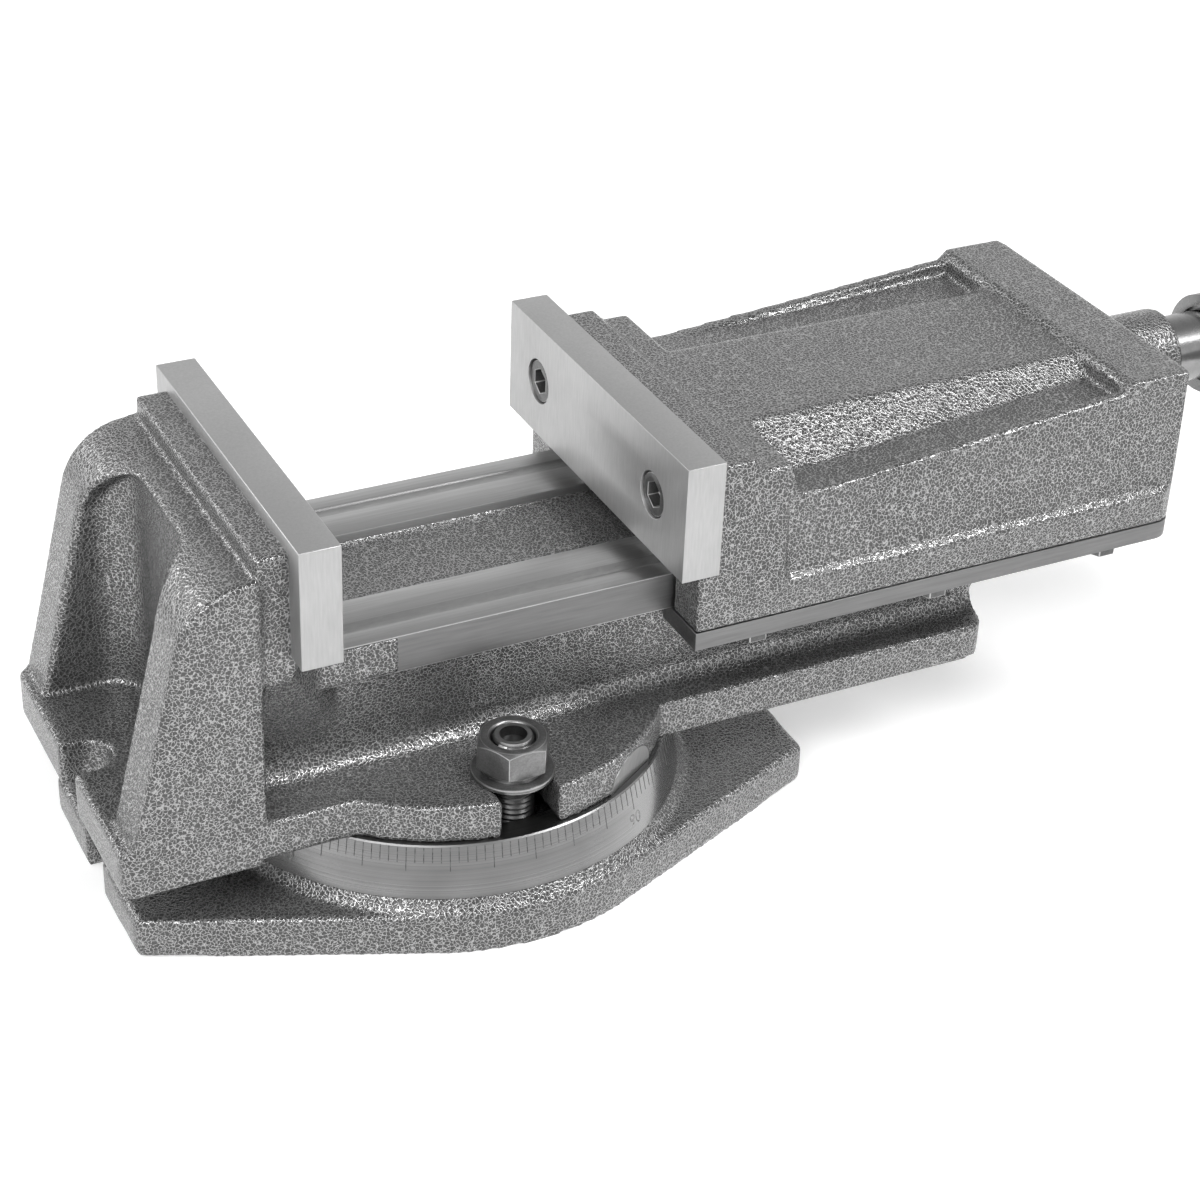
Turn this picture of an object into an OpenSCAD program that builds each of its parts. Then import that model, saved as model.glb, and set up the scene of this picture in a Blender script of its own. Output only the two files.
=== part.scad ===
// Swivel machine vise: a 160 mm milling vise on a graduated swivel base.
// X runs from the fixed jaw to the crank, Y across the jaws and Z up.
// The origin is on the swivel axis, on the underside of the base.

/* [Jaws] */
// Width of the jaw plates
jaw_w = 160; // [156:1:170]
// Height of the jaw plates
jaw_h = 50; // [46:1:56]
// Thickness of the jaw plates
jaw_t = 16.5; // [15:0.5:20]
// Opening between the jaw plates as drawn
jaw_open = 140; // [100:1:145]
// Largest opening that the screw allows
open_max = 150; // [146:1:152]
// Height of the jaw plates above the ways
jaw_lift = 11; // [9:0.5:14]
// Distance of each jaw screw from the middle of its plate
jaw_screw_y = 52; // [40:1:60]

/* [Swivel base] */
// Length of the base over its two lugs
base_len = 298; // [290:1:320]
// Width of each lug
lug_w = 107; // [90:1:120]
// Thickness of the base plate
base_th = 18; // [16:1:22]
// Radius of the base plate under the graduated rim
base_r = 107; // [107:1:112]
// Radius of the graduated rim at its foot
rim_r = 102; // [101:0.5:103]
// Radius of the graduated rim at its top
rim_top_r = 97; // [96:0.5:98]
// Height of the swivel face above the base plate
disc_h = 27.5; // [26:0.5:32]
// Height of the painted cove under the graduated rim
cove_h = 5; // [3:0.5:7]
// Width of the clamping slots in the lugs
lug_slot_w = 20; // [16:0.5:24]
// Distance of the clamping slots' centre from the end of the lug
lug_slot_in = 20; // [16:1:24]

/* [Bed] */
// Distance from the swivel axis to the fixed jaw's working face
fixed_face = 71; // [68:1:76]
// Distance from the swivel axis to the bed's jaw end
bed_back = 157; // [154:1:165]
// Distance from the swivel axis to the bed's crank end
bed_front = 234; // [225:1:240]
// Height of the ways above the swivel face
bed_h = 77; // [74:1:84]
// Thickness of the bed's bottom flange
flange_th = 16.5; // [14:0.5:20]
// Width of the bed at the fixed jaw
block_w = 142; // [138:1:146]
// Width of the bottom flange towards the crank
tail_w = 117; // [112:1:122]
// Radius of the flange over the swivel bolts
bulge_r = 95; // [94:0.5:96]
// Width over the outsides of the ways
ways_w = 111; // [108:0.5:114]
// Width of the channel between the ways
way_gap = 47; // [46:0.5:50]
// Thickness of the ways
way_h = 16.5; // [14:0.5:20]
// Width over the walls below the ways
waist_w = 88; // [82:1:92]

/* [Swivel bolts] */
// Radius of the circular T slot's middle line
tslot_r = 76; // [75:0.5:77]
// Diameter of the swivel bolts
stud_d = 18; // [16:0.5:18.5]
// Width of the nuts across their flats
nut_af = 27; // [26:0.5:30]
// Height of the nuts
nut_h = 15; // [12:0.5:18]
// Width of the notches for the swivel bolts in the flange
notch_w = 24; // [20:0.5:26]

/* [Movable jaw] */
// Length of the movable jaw casting at its foot
slide_len = 233.5; // [231:0.5:236]
// Width of the movable jaw casting at its foot
slide_w = 154; // [150:1:156]
// Distance of the casting's foot behind the plate's working face
foot_in = 9.5; // [8:0.5:12]
// Height of the casting's flat middle above the ways
crown_h = 49; // [47:0.5:52]
// Thickness of the keeper plates under the ways
keeper_t = 8; // [6:0.5:10]

/* [Screw and crank] */
// Diameter of the screw
screw_d = 28; // [24:0.5:28.5]
// Height of the screw's axis above the ways
screw_rise = 19.5; // [19:0.5:21]
// Length of the boss behind the movable jaw
boss_len = 40; // [34:1:46]
// Diameter of the boss
boss_d = 41; // [40:0.5:44]
// Length of bare shaft between the boss and the crank
shaft_gap = 25; // [18:1:32]
// Diameter of the crank's hub
hub_d = 45; // [42:0.5:50]
// Length of the crank from the screw's axis to the grip's axis
crank_len = 118; // [90:1:120]
// Length of the grip
grip_len = 88; // [70:1:110]
// Diameter of the grip
grip_d = 27; // [22:0.5:32]

/* [Fits] */
// Radial clearance of a turning or bolted fit
fit = 0.05; // [0.02:0.01:0.1]
// Clearance beside sliding faces
slide_gap = 0.3; // [0.2:0.05:0.5]

/* [Hidden] */
$fn = 96;
// Overrun of every cut past the face that it opens
cut = 1;

// Colours
paint = [0.46, 0.46, 0.46];
ground = [0.72, 0.72, 0.71];
machined = [0.58, 0.58, 0.57];
blacked = [0.24, 0.24, 0.25];
bronze = [0.66, 0.49, 0.26];
polished = [0.36, 0.36, 0.38];
grip_black = [0.10, 0.10, 0.11];

// Heights from the base's underside
disc_top = base_th + disc_h;
flange_top = disc_top + flange_th;
way_top = disc_top + bed_h;
way_under = way_top - way_h;
jaw_bottom = way_top + jaw_lift;
jaw_top = jaw_bottom + jaw_h;
screw_z = way_top + screw_rise;

// Base: corner rounding, cove, T slot, core under the swivel face and keyway
lug_corner = 7;
cove_foot = 4;
tslot_neck_w = stud_d + 1;
tslot_w = 33;
tslot_top = 14;
tslot_h = 12.5;
core_hub_r = 26;
core_r = 54;
core_roof = 17.5;
keyway_w = 18;
keyway_h = 4;
keyway_len = 38;

// Pivot pin
pivot_d = 40;
pivot_flange_d = 60;
pivot_flange_h = 6;
pivot_in_base = 22;
pivot_in_bed = 14;

// Bed: channel, groove, cored tunnel and fillets
way_floor = 4.5;
way_groove_w = 6;
way_groove_y = 43;
way_groove_h = 1;
bridge_t = 13;
tunnel_wall = 14;
tunnel_start = -40;
waist_fillet = 8;
tail_corner = 8;
block_corner = 6;
skirt_h = 3;
skirt_gap = 6;
end_slot_w = 20;
end_slot_len = 18;
facet_angle = -57;
facet_w = 30;
facet_h = 13.5;

// Fixed jaw: ridge, shoulder, sloped back and pocket
ridge_t = 12.5;
ridge_drop = 6;
ridge_side = 2;
shoulder_drop = 14.5;
shoulder_r = 30;
back_slope = 13.5;
pocket_w = 92;
pocket_wall = 24.5;
pocket_drop = 2;
pocket_arch_r = 26;
pocket_corner_r = 18;
ledge_in = 3;
cheek_len = 31;
cheek_proud = 0.75;
cheek_drop = 1;
root_gap = 1.5;
root_foot = 14;
root_head = 10;

// Movable jaw: shoulder, pockets, bulkhead, hollow and boss
shoulder_h = 5;
shoulder_len = 18;
step_len = 16;
side_step = 1.3;
band_h = 16;
band_start = 38;
side_draft = 3.5;
side_corner = 7;
pocket_front_h = 35.3;
pocket_rear_h = 48;
pocket_flat = 15;
pocket_groove_h = 42;
pocket_lip_w = 5;
crown_w = 66;
crown_foot_w = 108;
crown_side = 13;
bulkhead_t = 32;
bulkhead_h = 3;
front_wall = 12.5;
rear_wall = 14;
hollow_w = 50;
hollow_roof = 7.5;
core_w = 88;
core_h = 8;
core_top = 27;
tongue_h = 4;
boss_foot_d = 60;
boss_foot_len = 12;
slide_corner = 9;

// Leg clearance past the cheeks of the fixed jaw, and the keepers' lips
leg_gap = cheek_proud + 0.5;
keeper_lip = 6.5;
keeper_screw_d = 8;
keeper_head_af = 13;
keeper_head_h = 5.3;
keeper_screw_in = 14;
keeper_end = 31;
keeper_count = 3;

// Jaw screws: socket head cap screws
jaw_screw_d = 12;
jaw_head_d = 18;
jaw_head_h = 12;
jaw_bore_d = 19.5;
jaw_screw_in = 12;
socket_af = 10;
socket_deep = 6;

// Swivel bolts
head_w = 30;
head_h = 10.5;
head_gap = 0.2;
washer_d = 33.5;
washer_t = 2;
nut_seat_h = 2.5;
stud_proud = 0.6;
stud_chamfer = 2;
stud_hollow_d = 11;
stud_hollow_h = 4;

// Screw, nut, collar, bush and thrust pad
screw_nut_w = 40;
screw_nut_crown = 19;
nut_margin = 3;
nut_gap = 0.8;
nut_screw_d = 8;
nut_screw_head_d = 13;
nut_screw_head_h = 8;
nut_screw_x = 9;
nut_screw_y = 13;
nut_screw_in = 7;
pad_d = 20;
pad_t = 6;
pad_proud = 2;
tip_d = 16;
tip_len = 4;
tip_gap = 0.1;
collar_d = 40;
collar_t = 14;
collar_gap = 0.2;
pin_d = 6;
bush_d = 34;
shoulder_d = 31;
square_af = 19;

// Crank
hub_len = 28;
hub_recess_d = 34;
hub_recess_h = 3;
arm_w = 26;
arm_end_w = 20;
arm_t = 12;
spindle_d = 10;
spindle_head_d = 15;
spindle_head_h = 4;
grip_gap = 0.3;
grip_end_d = 22;
grip_neck_d = 20;
grip_washer_d = 18;
grip_washer_t = 2;
setscrew_d = 8;
setscrew_len = 12;
setscrew_socket = 4;

// Places along X
fixed_x = -fixed_face;
fixed_back_x = fixed_x - jaw_t;
ridge_x = fixed_back_x - ridge_t;
mov_x = fixed_x + jaw_open;
mov_back_x = mov_x + jaw_t;
foot_x = mov_x + foot_in;
rear_x = foot_x + slide_len;
boss_x = rear_x + boss_len;
hollow_x0 = mov_back_x + front_wall;
hollow_x1 = rear_x - rear_wall;
hub_x = boss_x + shaft_gap;
hub_end_x = hub_x + hub_len;
// The root ends where the closed jaw's foot stops
root_x = fixed_x + foot_in - root_gap;
arm_x = hub_end_x - arm_t;
// The nut clears the thrust pad at the largest opening
nut_x = hollow_x0 + (open_max - jaw_open) + nut_margin;
pad_x = hollow_x0 + pad_proud;
tip_x = pad_x + tip_gap;
collar_x = hollow_x1 - collar_gap - collar_t;
// The nut also clears the collar when the jaws are closed
screw_nut_len = collar_x - jaw_open - nut_gap - nut_x;

// Half widths and heights that several pieces share
way_half = ways_w / 2;
leg_in = way_half + leg_gap;
foot_half = slide_w / 2;
wall_half = foot_half - side_step;
crown_z = way_top + crown_h;
shoulder_z = crown_z + shoulder_h;
bulkhead_z = crown_z + bulkhead_h;
keeper_z = way_under - keeper_t;
keeper_in = way_half - keeper_lip;
waist_half = waist_w / 2;
waist_head = keeper_in - 2 * slide_gap;
root_top = jaw_bottom - root_head;
keeper_screw_y = (leg_in + foot_half) / 2;
bridge_z = way_top - way_floor - bridge_t;
tslot_roof = disc_top - tslot_top;
tslot_floor = tslot_roof - tslot_h;
washer_z = flange_top;
facet_r = sqrt(bulge_r * bulge_r - facet_w * facet_w / 4);
facet_lean = atan((bulge_r - facet_r) / facet_h);
nut_z = washer_z + washer_t;
head_top = tslot_roof - head_gap;
stud_top = nut_z + nut_h + stud_proud;

// Extrudes a section drawn in Y and Z along X
module along_x(x0, x1) {
  translate([x0, 0, 0]) rotate([90, 0, 90]) linear_extrude(x1 - x0) children();
}

// Extrudes an outline drawn in X and Z across Y, w wide
module across_y(w) {
  rotate([90, 0, 0]) linear_extrude(w, center = true) children();
}

module both_sides() {
  children();
  mirror([0, 1, 0]) children();
}

// A cylinder along X from x0 to x1 on the screw's axis
module rod_x(x0, x1, d) {
  translate([x0, 0, screw_z]) rotate([0, 90, 0]) cylinder(h = x1 - x0, d = d);
}

// A rectangle with all four corners rounded
module round_rect(x0, x1, y0, y1, r) {
  translate([x0 + r, y0]) square([x1 - x0 - 2 * r, y1 - y0]);
  translate([x0, y0 + r]) square([x1 - x0, y1 - y0 - 2 * r]);
  for (x = [x0 + r, x1 - r]) {
    for (y = [y0 + r, y1 - r]) {
      translate([x, y]) circle(r);
    }
  }
}

// A slot of width w open towards +X, its round end centred on the origin
module open_slot(w, len) {
  circle(d = w);
  translate([0, -w / 2]) square([len, w]);
}

// Base plan: a circle whose tangents run to the corners of the lugs
module base_plan() {
  lug_x = base_len / 2;
  lug_y = lug_w / 2;
  reach = norm([lug_x, lug_y]);
  turn = atan2(lug_y, lug_x) + acos(base_r / reach);
  touch = base_r * [cos(turn), sin(turn)];
  intersection() {
    union() {
      circle(base_r);
      for (a = [0, 180]) {
        rotate(a) {
          polygon([[0, -touch[1]], [touch[0], -touch[1]], [lug_x, -lug_y],
                   [lug_x, lug_y], [touch[0], touch[1]], [0, touch[1]]]);
        }
      }
    }
    round_rect(-lug_x, lug_x, -base_r, base_r, base_r - lug_y + lug_corner);
  }
}

module swivel_base() {
  color(paint) difference() {
    union() {
      linear_extrude(base_th) base_plan();
      translate([0, 0, base_th]) cylinder(h = cove_h, r1 = rim_r + cove_foot, r2 = rim_r);
      translate([0, 0, base_th + cove_h]) {
        cylinder(h = disc_h - cove_h, r1 = rim_r, r2 = rim_top_r);
      }
    }
    for (side = [-1, 1]) {
      translate([side * (base_len / 2 - lug_slot_in), 0, -cut]) {
        rotate(side > 0 ? 0 : 180) linear_extrude(base_th + 2 * cut) {
          open_slot(lug_slot_w, lug_slot_in + cut);
        }
      }
    }
    // Circular T slot for the swivel bolts, with its entry under the bed
    rotate_extrude() {
      translate([tslot_r - tslot_neck_w / 2, tslot_floor]) {
        square([tslot_neck_w, tslot_top + tslot_h + cut]);
      }
      translate([tslot_r - tslot_w / 2, tslot_floor]) square([tslot_w, tslot_h]);
    }
    translate([tslot_r - tslot_w / 2, -tslot_w / 2, tslot_floor]) {
      cube([tslot_w, tslot_w, tslot_top + tslot_h + cut]);
    }
    // Core under the swivel face, and the bore of the pivot pin
    translate([0, 0, -cut]) difference() {
      cylinder(h = disc_top - core_roof + cut, r = core_r);
      translate([0, 0, -cut]) cylinder(h = disc_top + cut, r = core_hub_r);
    }
    translate([0, 0, disc_top - pivot_in_base]) {
      cylinder(h = pivot_in_base + cut, d = pivot_d);
    }
    // Keyways for a machine table's slot
    for (side = [-1, 1]) {
      translate([side > 0 ? base_r - keyway_len : -base_r, -keyway_w / 2, -cut]) {
        cube([keyway_len, keyway_w, keyway_h + cut]);
      }
    }
  }
}

module pivot_pin() {
  color(machined) {
    translate([0, 0, disc_top - pivot_in_base]) {
      cylinder(h = pivot_in_base + pivot_in_bed, d = pivot_d);
    }
  }
}

// Plan of the bed's bottom flange
module flange_plan() {
  difference() {
    union() {
      intersection() {
        round_rect(-bed_back, bed_back, -block_w / 2, block_w / 2, block_corner);
        translate([-bed_back, -block_w]) square([bed_back, 2 * block_w]);
      }
      circle(bulge_r);
      intersection() {
        round_rect(-bed_front, bed_front, -tail_w / 2, tail_w / 2, tail_corner);
        translate([0, -tail_w]) square([bed_front, 2 * tail_w]);
      }
    }
    for (a = [-90, 90]) {
      rotate(a) translate([tslot_r, 0]) open_slot(notch_w, bulge_r);
    }
  }
}

// Section of the bed below and between the ways, with coves at the flange
module waist_section() {
  polygon([[-waist_half, disc_top], [-waist_half, flange_top + waist_fillet], [-waist_head, way_under],
           [-waist_head, way_under + cut], [waist_head, way_under + cut], [waist_head, way_under],
           [waist_half, flange_top + waist_fillet], [waist_half, disc_top]]);
  difference() {
    translate([-waist_half - waist_fillet, flange_top - cut]) {
      square([waist_w + 2 * waist_fillet, waist_fillet + cut]);
    }
    for (side = [-1, 1]) {
      translate([side * (waist_half + waist_fillet), flange_top + waist_fillet]) circle(waist_fillet);
    }
  }
}

module ways_section() {
  difference() {
    translate([-way_half, way_under]) square([ways_w, way_h]);
    translate([-way_gap / 2, way_top - way_floor]) square([way_gap, way_floor + cut]);
    for (side = [-1, 1]) {
      translate([side * way_groove_y - way_groove_w / 2, way_top - way_groove_h]) {
        square([way_groove_w, way_groove_h + cut]);
      }
    }
  }
}

// Side view of the fixed jaw behind its plate: ridge, round shoulder, sloped back
module fixed_jaw_profile() {
  top = jaw_top - shoulder_drop;
  centre = [ridge_x - 3, top - shoulder_r];
  touch = centre + shoulder_r * [-cos(back_slope), sin(back_slope)];
  foot = touch - (touch[1] - flange_top) * [tan(back_slope), 1];
  intersection() {
    translate(centre) circle(shoulder_r);
    translate([ridge_x - 2 * shoulder_r, flange_top]) square([2 * shoulder_r, jaw_top - flange_top]);
  }
  polygon([foot, touch, centre, [centre[0], top], [ridge_x + cut, top],
           [ridge_x + cut, flange_top - cut], [foot[0], flange_top - cut]]);
}

module jaw_tap_holes(x, length) {
  for (side = [-1, 1]) {
    translate([x, side * jaw_screw_y, (jaw_bottom + jaw_top) / 2]) {
      rotate([0, 90, 0]) cylinder(h = length, d = jaw_screw_d + 2 * fit);
    }
  }
}

// Root of the fixed jaw: it spreads from the waist to the jaw's full width, and
// carries the plate on a ledge
module jaw_root() {
  jaw_half = block_w / 2 - ridge_side;
  intersection() {
    translate([0, 0, flange_top - cut]) linear_extrude(jaw_bottom - flange_top + cut) {
      polygon([[ridge_x, -jaw_half], [fixed_back_x, -jaw_half], [root_x, -waist_head],
               [root_x, waist_head], [fixed_back_x, jaw_half], [ridge_x, jaw_half]]);
    }
    along_x(ridge_x, root_x) {
      polygon([[-waist_half, flange_top - cut], [-waist_half, flange_top + root_foot],
               [-jaw_half, root_top], [-jaw_half, jaw_bottom + cut], [jaw_half, jaw_bottom + cut],
               [jaw_half, root_top], [waist_half, flange_top + root_foot],
               [waist_half, flange_top - cut]]);
    }
    across_y(block_w) {
      polygon([[ridge_x, flange_top - cut], [ridge_x, jaw_bottom], [fixed_x - ledge_in, jaw_bottom],
               [fixed_x - ledge_in, way_top - cheek_drop], [root_x, way_top - cheek_drop],
               [root_x, flange_top - cut]]);
    }
  }
  // Unmachined cheeks beside the start of the ways
  both_sides() translate([fixed_back_x, way_half - cut, way_under + leg_gap - cheek_proud]) {
    cube([jaw_t + cheek_len, cheek_proud + cut, way_h - cheek_drop - leg_gap + cheek_proud]);
  }
}

module vise_body() {
  color(paint) difference() {
    union() {
      translate([0, 0, disc_top]) linear_extrude(flange_th) flange_plan();
      // Skirt that reaches below the swivel face outside the rim
      translate([0, 0, disc_top - skirt_h]) linear_extrude(skirt_h + cut) difference() {
        intersection() {
          flange_plan();
          translate([-bed_back, -block_w]) square([bed_back, 2 * block_w]);
        }
        circle(rim_r + skirt_gap);
        translate([-rim_r, -block_w]) square([2 * rim_r, 2 * block_w]);
      }
      along_x(ridge_x, bed_front) waist_section();
      along_x(fixed_back_x, bed_front) ways_section();
      across_y(block_w) fixed_jaw_profile();
      // Ridge behind the plate
      translate([ridge_x, -block_w / 2 + ridge_side, root_top]) {
        cube([ridge_t, block_w - 2 * ridge_side, jaw_top - ridge_drop - root_top]);
      }
      jaw_root();
    }
    // Open slot in the jaw end of the flange
    translate([-bed_back + end_slot_len - end_slot_w / 2, 0, disc_top - skirt_h - cut]) {
      linear_extrude(flange_th + skirt_h + 2 * cut) rotate(180) {
        open_slot(end_slot_w, end_slot_len + cut);
      }
    }
    // Pocket between the two ribs of the fixed jaw
    intersection() {
      along_x(-bed_back - cut, ridge_x) {
        round_rect(-pocket_w / 2, pocket_w / 2, flange_top - pocket_arch_r,
                   jaw_top - shoulder_drop - pocket_drop, pocket_arch_r);
      }
      translate([0, 0, flange_top]) linear_extrude(jaw_top) {
        round_rect(-2 * bed_back, ridge_x - pocket_wall / 2, -pocket_w / 2, pocket_w / 2, pocket_corner_r);
      }
    }
    // Milled facet for the zero mark. It leans outwards and so ends in an arch below the flange's top
    rotate(facet_angle) translate([facet_r, -facet_w / 2, disc_top - cut]) rotate([0, facet_lean, 0]) {
      cube([facet_w, facet_w, flange_th]);
    }
    // Tunnel that cores out the bed, open at the crank end
    translate([tunnel_start, -waist_w / 2 + tunnel_wall, flange_top]) {
      cube([bed_front - tunnel_start + cut, waist_w - 2 * tunnel_wall, bridge_z - flange_top]);
    }
    translate([0, 0, disc_top - cut]) cylinder(h = flange_th + 2 * cut, d = pivot_d + 2 * fit);
    // The channel between the ways starts at the plate's ledge
    translate([fixed_x - ledge_in, -way_gap / 2, way_top - way_floor]) {
      cube([fixed_face + ledge_in, way_gap, way_floor + cut]);
    }
    jaw_tap_holes(fixed_back_x - jaw_screw_in - cut, jaw_screw_in + 2 * cut);
    nut_screw_places() cylinder(h = bridge_t + 2 * cut, d = nut_screw_d + 2 * fit);
  }
}

// A jaw plate with its working face at X = 0 and its body towards +X
module jaw_plate() {
  difference() {
    translate([0, -jaw_w / 2, jaw_bottom]) cube([jaw_t, jaw_w, jaw_h]);
    for (side = [-1, 1]) {
      translate([0, side * jaw_screw_y, (jaw_bottom + jaw_top) / 2]) rotate([0, 90, 0]) {
        translate([0, 0, -cut]) cylinder(h = jaw_t + 2 * cut, d = jaw_screw_d + 2 * fit);
        translate([0, 0, -cut]) cylinder(h = jaw_head_h + cut, d = jaw_bore_d);
      }
    }
  }
}

// Two cap screws for a plate whose working face is at X = 0
module jaw_screws() {
  for (side = [-1, 1]) {
    translate([0, side * jaw_screw_y, (jaw_bottom + jaw_top) / 2]) rotate([0, 90, 0]) {
      difference() {
        union() {
          cylinder(h = jaw_head_h, d = jaw_head_d);
          cylinder(h = jaw_t + jaw_screw_in, d = jaw_screw_d);
        }
        translate([0, 0, -cut]) cylinder(h = socket_deep + cut, d = socket_af / cos(30), $fn = 6);
      }
    }
  }
}

module fixed_jaw_plate() {
  color(ground) translate([fixed_x, 0, 0]) mirror([1, 0, 0]) jaw_plate();
}

module fixed_jaw_screws() {
  color(blacked) translate([fixed_x, 0, 0]) mirror([1, 0, 0]) jaw_screws();
}

module swivel_bolts() {
  color(blacked) for (side = [-1, 1]) {
    translate([0, side * tslot_r, 0]) difference() {
      union() {
        translate([-head_w / 2, -head_w / 2, head_top - head_h]) cube([head_w, head_w, head_h]);
        translate([0, 0, head_top - cut]) {
          cylinder(h = stud_top - stud_chamfer - head_top + cut, d = stud_d);
        }
        translate([0, 0, stud_top - stud_chamfer]) {
          cylinder(h = stud_chamfer, d1 = stud_d, d2 = stud_d - 2 * stud_chamfer);
        }
      }
      translate([0, 0, stud_top - stud_hollow_h]) cylinder(h = stud_hollow_h + cut, d = stud_hollow_d);
    }
  }
}

module swivel_washers() {
  color(blacked) for (side = [-1, 1]) {
    translate([0, side * tslot_r, washer_z]) difference() {
      cylinder(h = washer_t, d = washer_d);
      translate([0, 0, -cut]) cylinder(h = washer_t + 2 * cut, d = stud_d + 2 * fit);
    }
  }
}

// A hexagon nut on a round seat, its upper corners turned down at 30 degrees
module hex_nut(af, h, seat_h, bore) {
  face_r = af / 2 - seat_h / 4;
  difference() {
    union() {
      cylinder(h = seat_h + cut, r = face_r);
      translate([0, 0, seat_h]) intersection() {
        cylinder(h = h - seat_h, d = af / cos(30), $fn = 6);
        cylinder(h = h - seat_h, r1 = face_r + (h - seat_h) / tan(30), r2 = face_r);
      }
    }
    translate([0, 0, -cut]) cylinder(h = h + 2 * cut, d = bore);
  }
}

module swivel_nuts() {
  color(blacked) for (side = [-1, 1]) {
    translate([0, side * tslot_r, nut_z]) hex_nut(nut_af, nut_h, nut_seat_h, stud_d + 2 * fit);
  }
}

// The four places where screws hold the leadscrew nut from below
module nut_screw_places() {
  for (dx = [-1, 1]) {
    for (dy = [-1, 1]) {
      translate([nut_x + screw_nut_len / 2 + dx * nut_screw_x, dy * nut_screw_y, bridge_z - cut]) {
        children();
      }
    }
  }
}

module leadscrew_nut() {
  floor_z = way_top - way_floor;
  color(bronze) difference() {
    translate([nut_x, -screw_nut_w / 2, floor_z]) {
      cube([screw_nut_len, screw_nut_w, screw_z + screw_nut_crown - floor_z]);
    }
    rod_x(nut_x - cut, nut_x + screw_nut_len + cut, screw_d + 2 * fit);
    nut_screw_places() cylinder(h = bridge_t + cut + nut_screw_in, d = nut_screw_d + 2 * fit);
  }
}

module leadscrew_nut_screws() {
  color(blacked) nut_screw_places() {
    translate([0, 0, cut]) cylinder(h = bridge_t + nut_screw_in, d = nut_screw_d);
    translate([0, 0, cut - nut_screw_head_h]) cylinder(h = nut_screw_head_h, d = nut_screw_head_d);
  }
}

// Side view of the movable jaw casting from its foot up
module slide_profile() {
  crown_front = mov_back_x + shoulder_len;
  bulkhead_x = rear_x - bulkhead_t;
  polygon([[foot_x, way_under], [foot_x, jaw_bottom], [mov_back_x, jaw_bottom],
           [mov_back_x, shoulder_z], [crown_front, shoulder_z],
           [crown_front + shoulder_h, crown_z], [bulkhead_x, crown_z],
           [bulkhead_x + bulkhead_h, bulkhead_z], [rear_x, bulkhead_z], [rear_x, way_under]]);
}

// Cross section of the movable jaw casting: a band at the foot, then drafted sides
module slide_section(step) {
  top_half = wall_half - side_draft;
  half = foot_half - step;
  polygon([[-foot_half, way_under], [-foot_half, way_under + band_h], [-half, way_under + band_h + step],
           [-top_half, shoulder_z], [top_half, shoulder_z], [half, way_under + band_h + step],
           [foot_half, way_under + band_h], [foot_half, way_under]]);
}

// The sunk strips beside the flat crown of the movable jaw
module slide_side_pocket() {
  x0 = mov_back_x + shoulder_len + step_len;
  x1 = rear_x - bulkhead_t;
  front_z = way_top + pocket_front_h;
  flat_x = x0 + shoulder_h + pocket_flat;
  lip_in = foot_half - side_step - side_draft - pocket_lip_w;
  intersection() {
    union() {
      across_y(2 * slide_w) {
        polygon([[x0, crown_z + 2 * cut], [x0 + shoulder_h, front_z], [flat_x, front_z],
                 [x1, way_top + pocket_rear_h], [x1, crown_z + 2 * cut]]);
      }
      // A groove that gets deeper to the rear and leaves a lip along the outer edge
      across_y(2 * lip_in) {
        polygon([[flat_x, crown_z + cut], [flat_x, front_z], [x1, way_top + pocket_groove_h],
                 [x1, crown_z + cut]]);
      }
    }
    along_x(x0 - cut, x1 + cut) {
      polygon([[crown_w / 2, crown_z], [crown_foot_w / 2, crown_z - crown_side],
               [crown_foot_w / 2, way_top], [slide_w, way_top], [slide_w, crown_z + 3 * cut],
               [crown_w / 2, crown_z + 3 * cut]]);
    }
  }
}

module movable_jaw() {
  color(paint) difference() {
    union() {
      intersection() {
        across_y(slide_w + 2 * cut) slide_profile();
        union() {
          along_x(foot_x, foot_x + band_start + cut) slide_section(0);
          along_x(foot_x + band_start, rear_x) slide_section(side_step);
        }
        translate([0, 0, way_under]) linear_extrude(shoulder_z) intersection() {
          round_rect(foot_x - jaw_w, rear_x, -foot_half, foot_half, slide_corner);
          translate([foot_x, -slide_w]) square([slide_len, 2 * slide_w]);
        }
      }
      rod_x(rear_x - cut, boss_x, boss_d);
      translate([rear_x, 0, screw_z]) rotate([0, 90, 0]) {
        cylinder(h = boss_foot_len, d1 = boss_foot_d, d2 = boss_d);
      }
      // Guide tongue between the ways, under the front wall
      translate([mov_back_x, -way_gap / 2 + slide_gap, way_top - tongue_h]) {
        cube([front_wall, way_gap - 2 * slide_gap, tongue_h + cut]);
      }
    }
    both_sides() slide_side_pocket();
    // Room for the ways between the legs, and under the foot of the boss
    difference() {
      translate([foot_x - cut, -leg_in, way_under - cut]) {
        cube([slide_len + boss_foot_len + cut, 2 * leg_in, way_h + cut]);
      }
      translate([mov_back_x, -way_gap / 2 + slide_gap, way_top - tongue_h]) {
        cube([front_wall, way_gap - 2 * slide_gap, tongue_h + cut]);
      }
    }
    // Hollow for the screw and its nut, and the wider core above the ways
    translate([hollow_x0, -hollow_w / 2, way_top - cut]) {
      cube([hollow_x1 - hollow_x0, hollow_w, crown_h - hollow_roof + cut]);
    }
    translate([hollow_x0, -core_w / 2, way_top + core_h]) {
      cube([hollow_x1 - hollow_x0, core_w, core_top - core_h]);
    }
    rod_x(hollow_x1 - cut, boss_x + cut, bush_d);
    rod_x(hollow_x0 + pad_proud - pad_t, hollow_x0 + cut, pad_d);
    jaw_tap_holes(mov_back_x - cut, jaw_screw_in + 2 * cut);
    keeper_screw_places() cylinder(h = keeper_t + keeper_screw_in + cut, d = keeper_screw_d + 2 * fit);
  }
}

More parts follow.
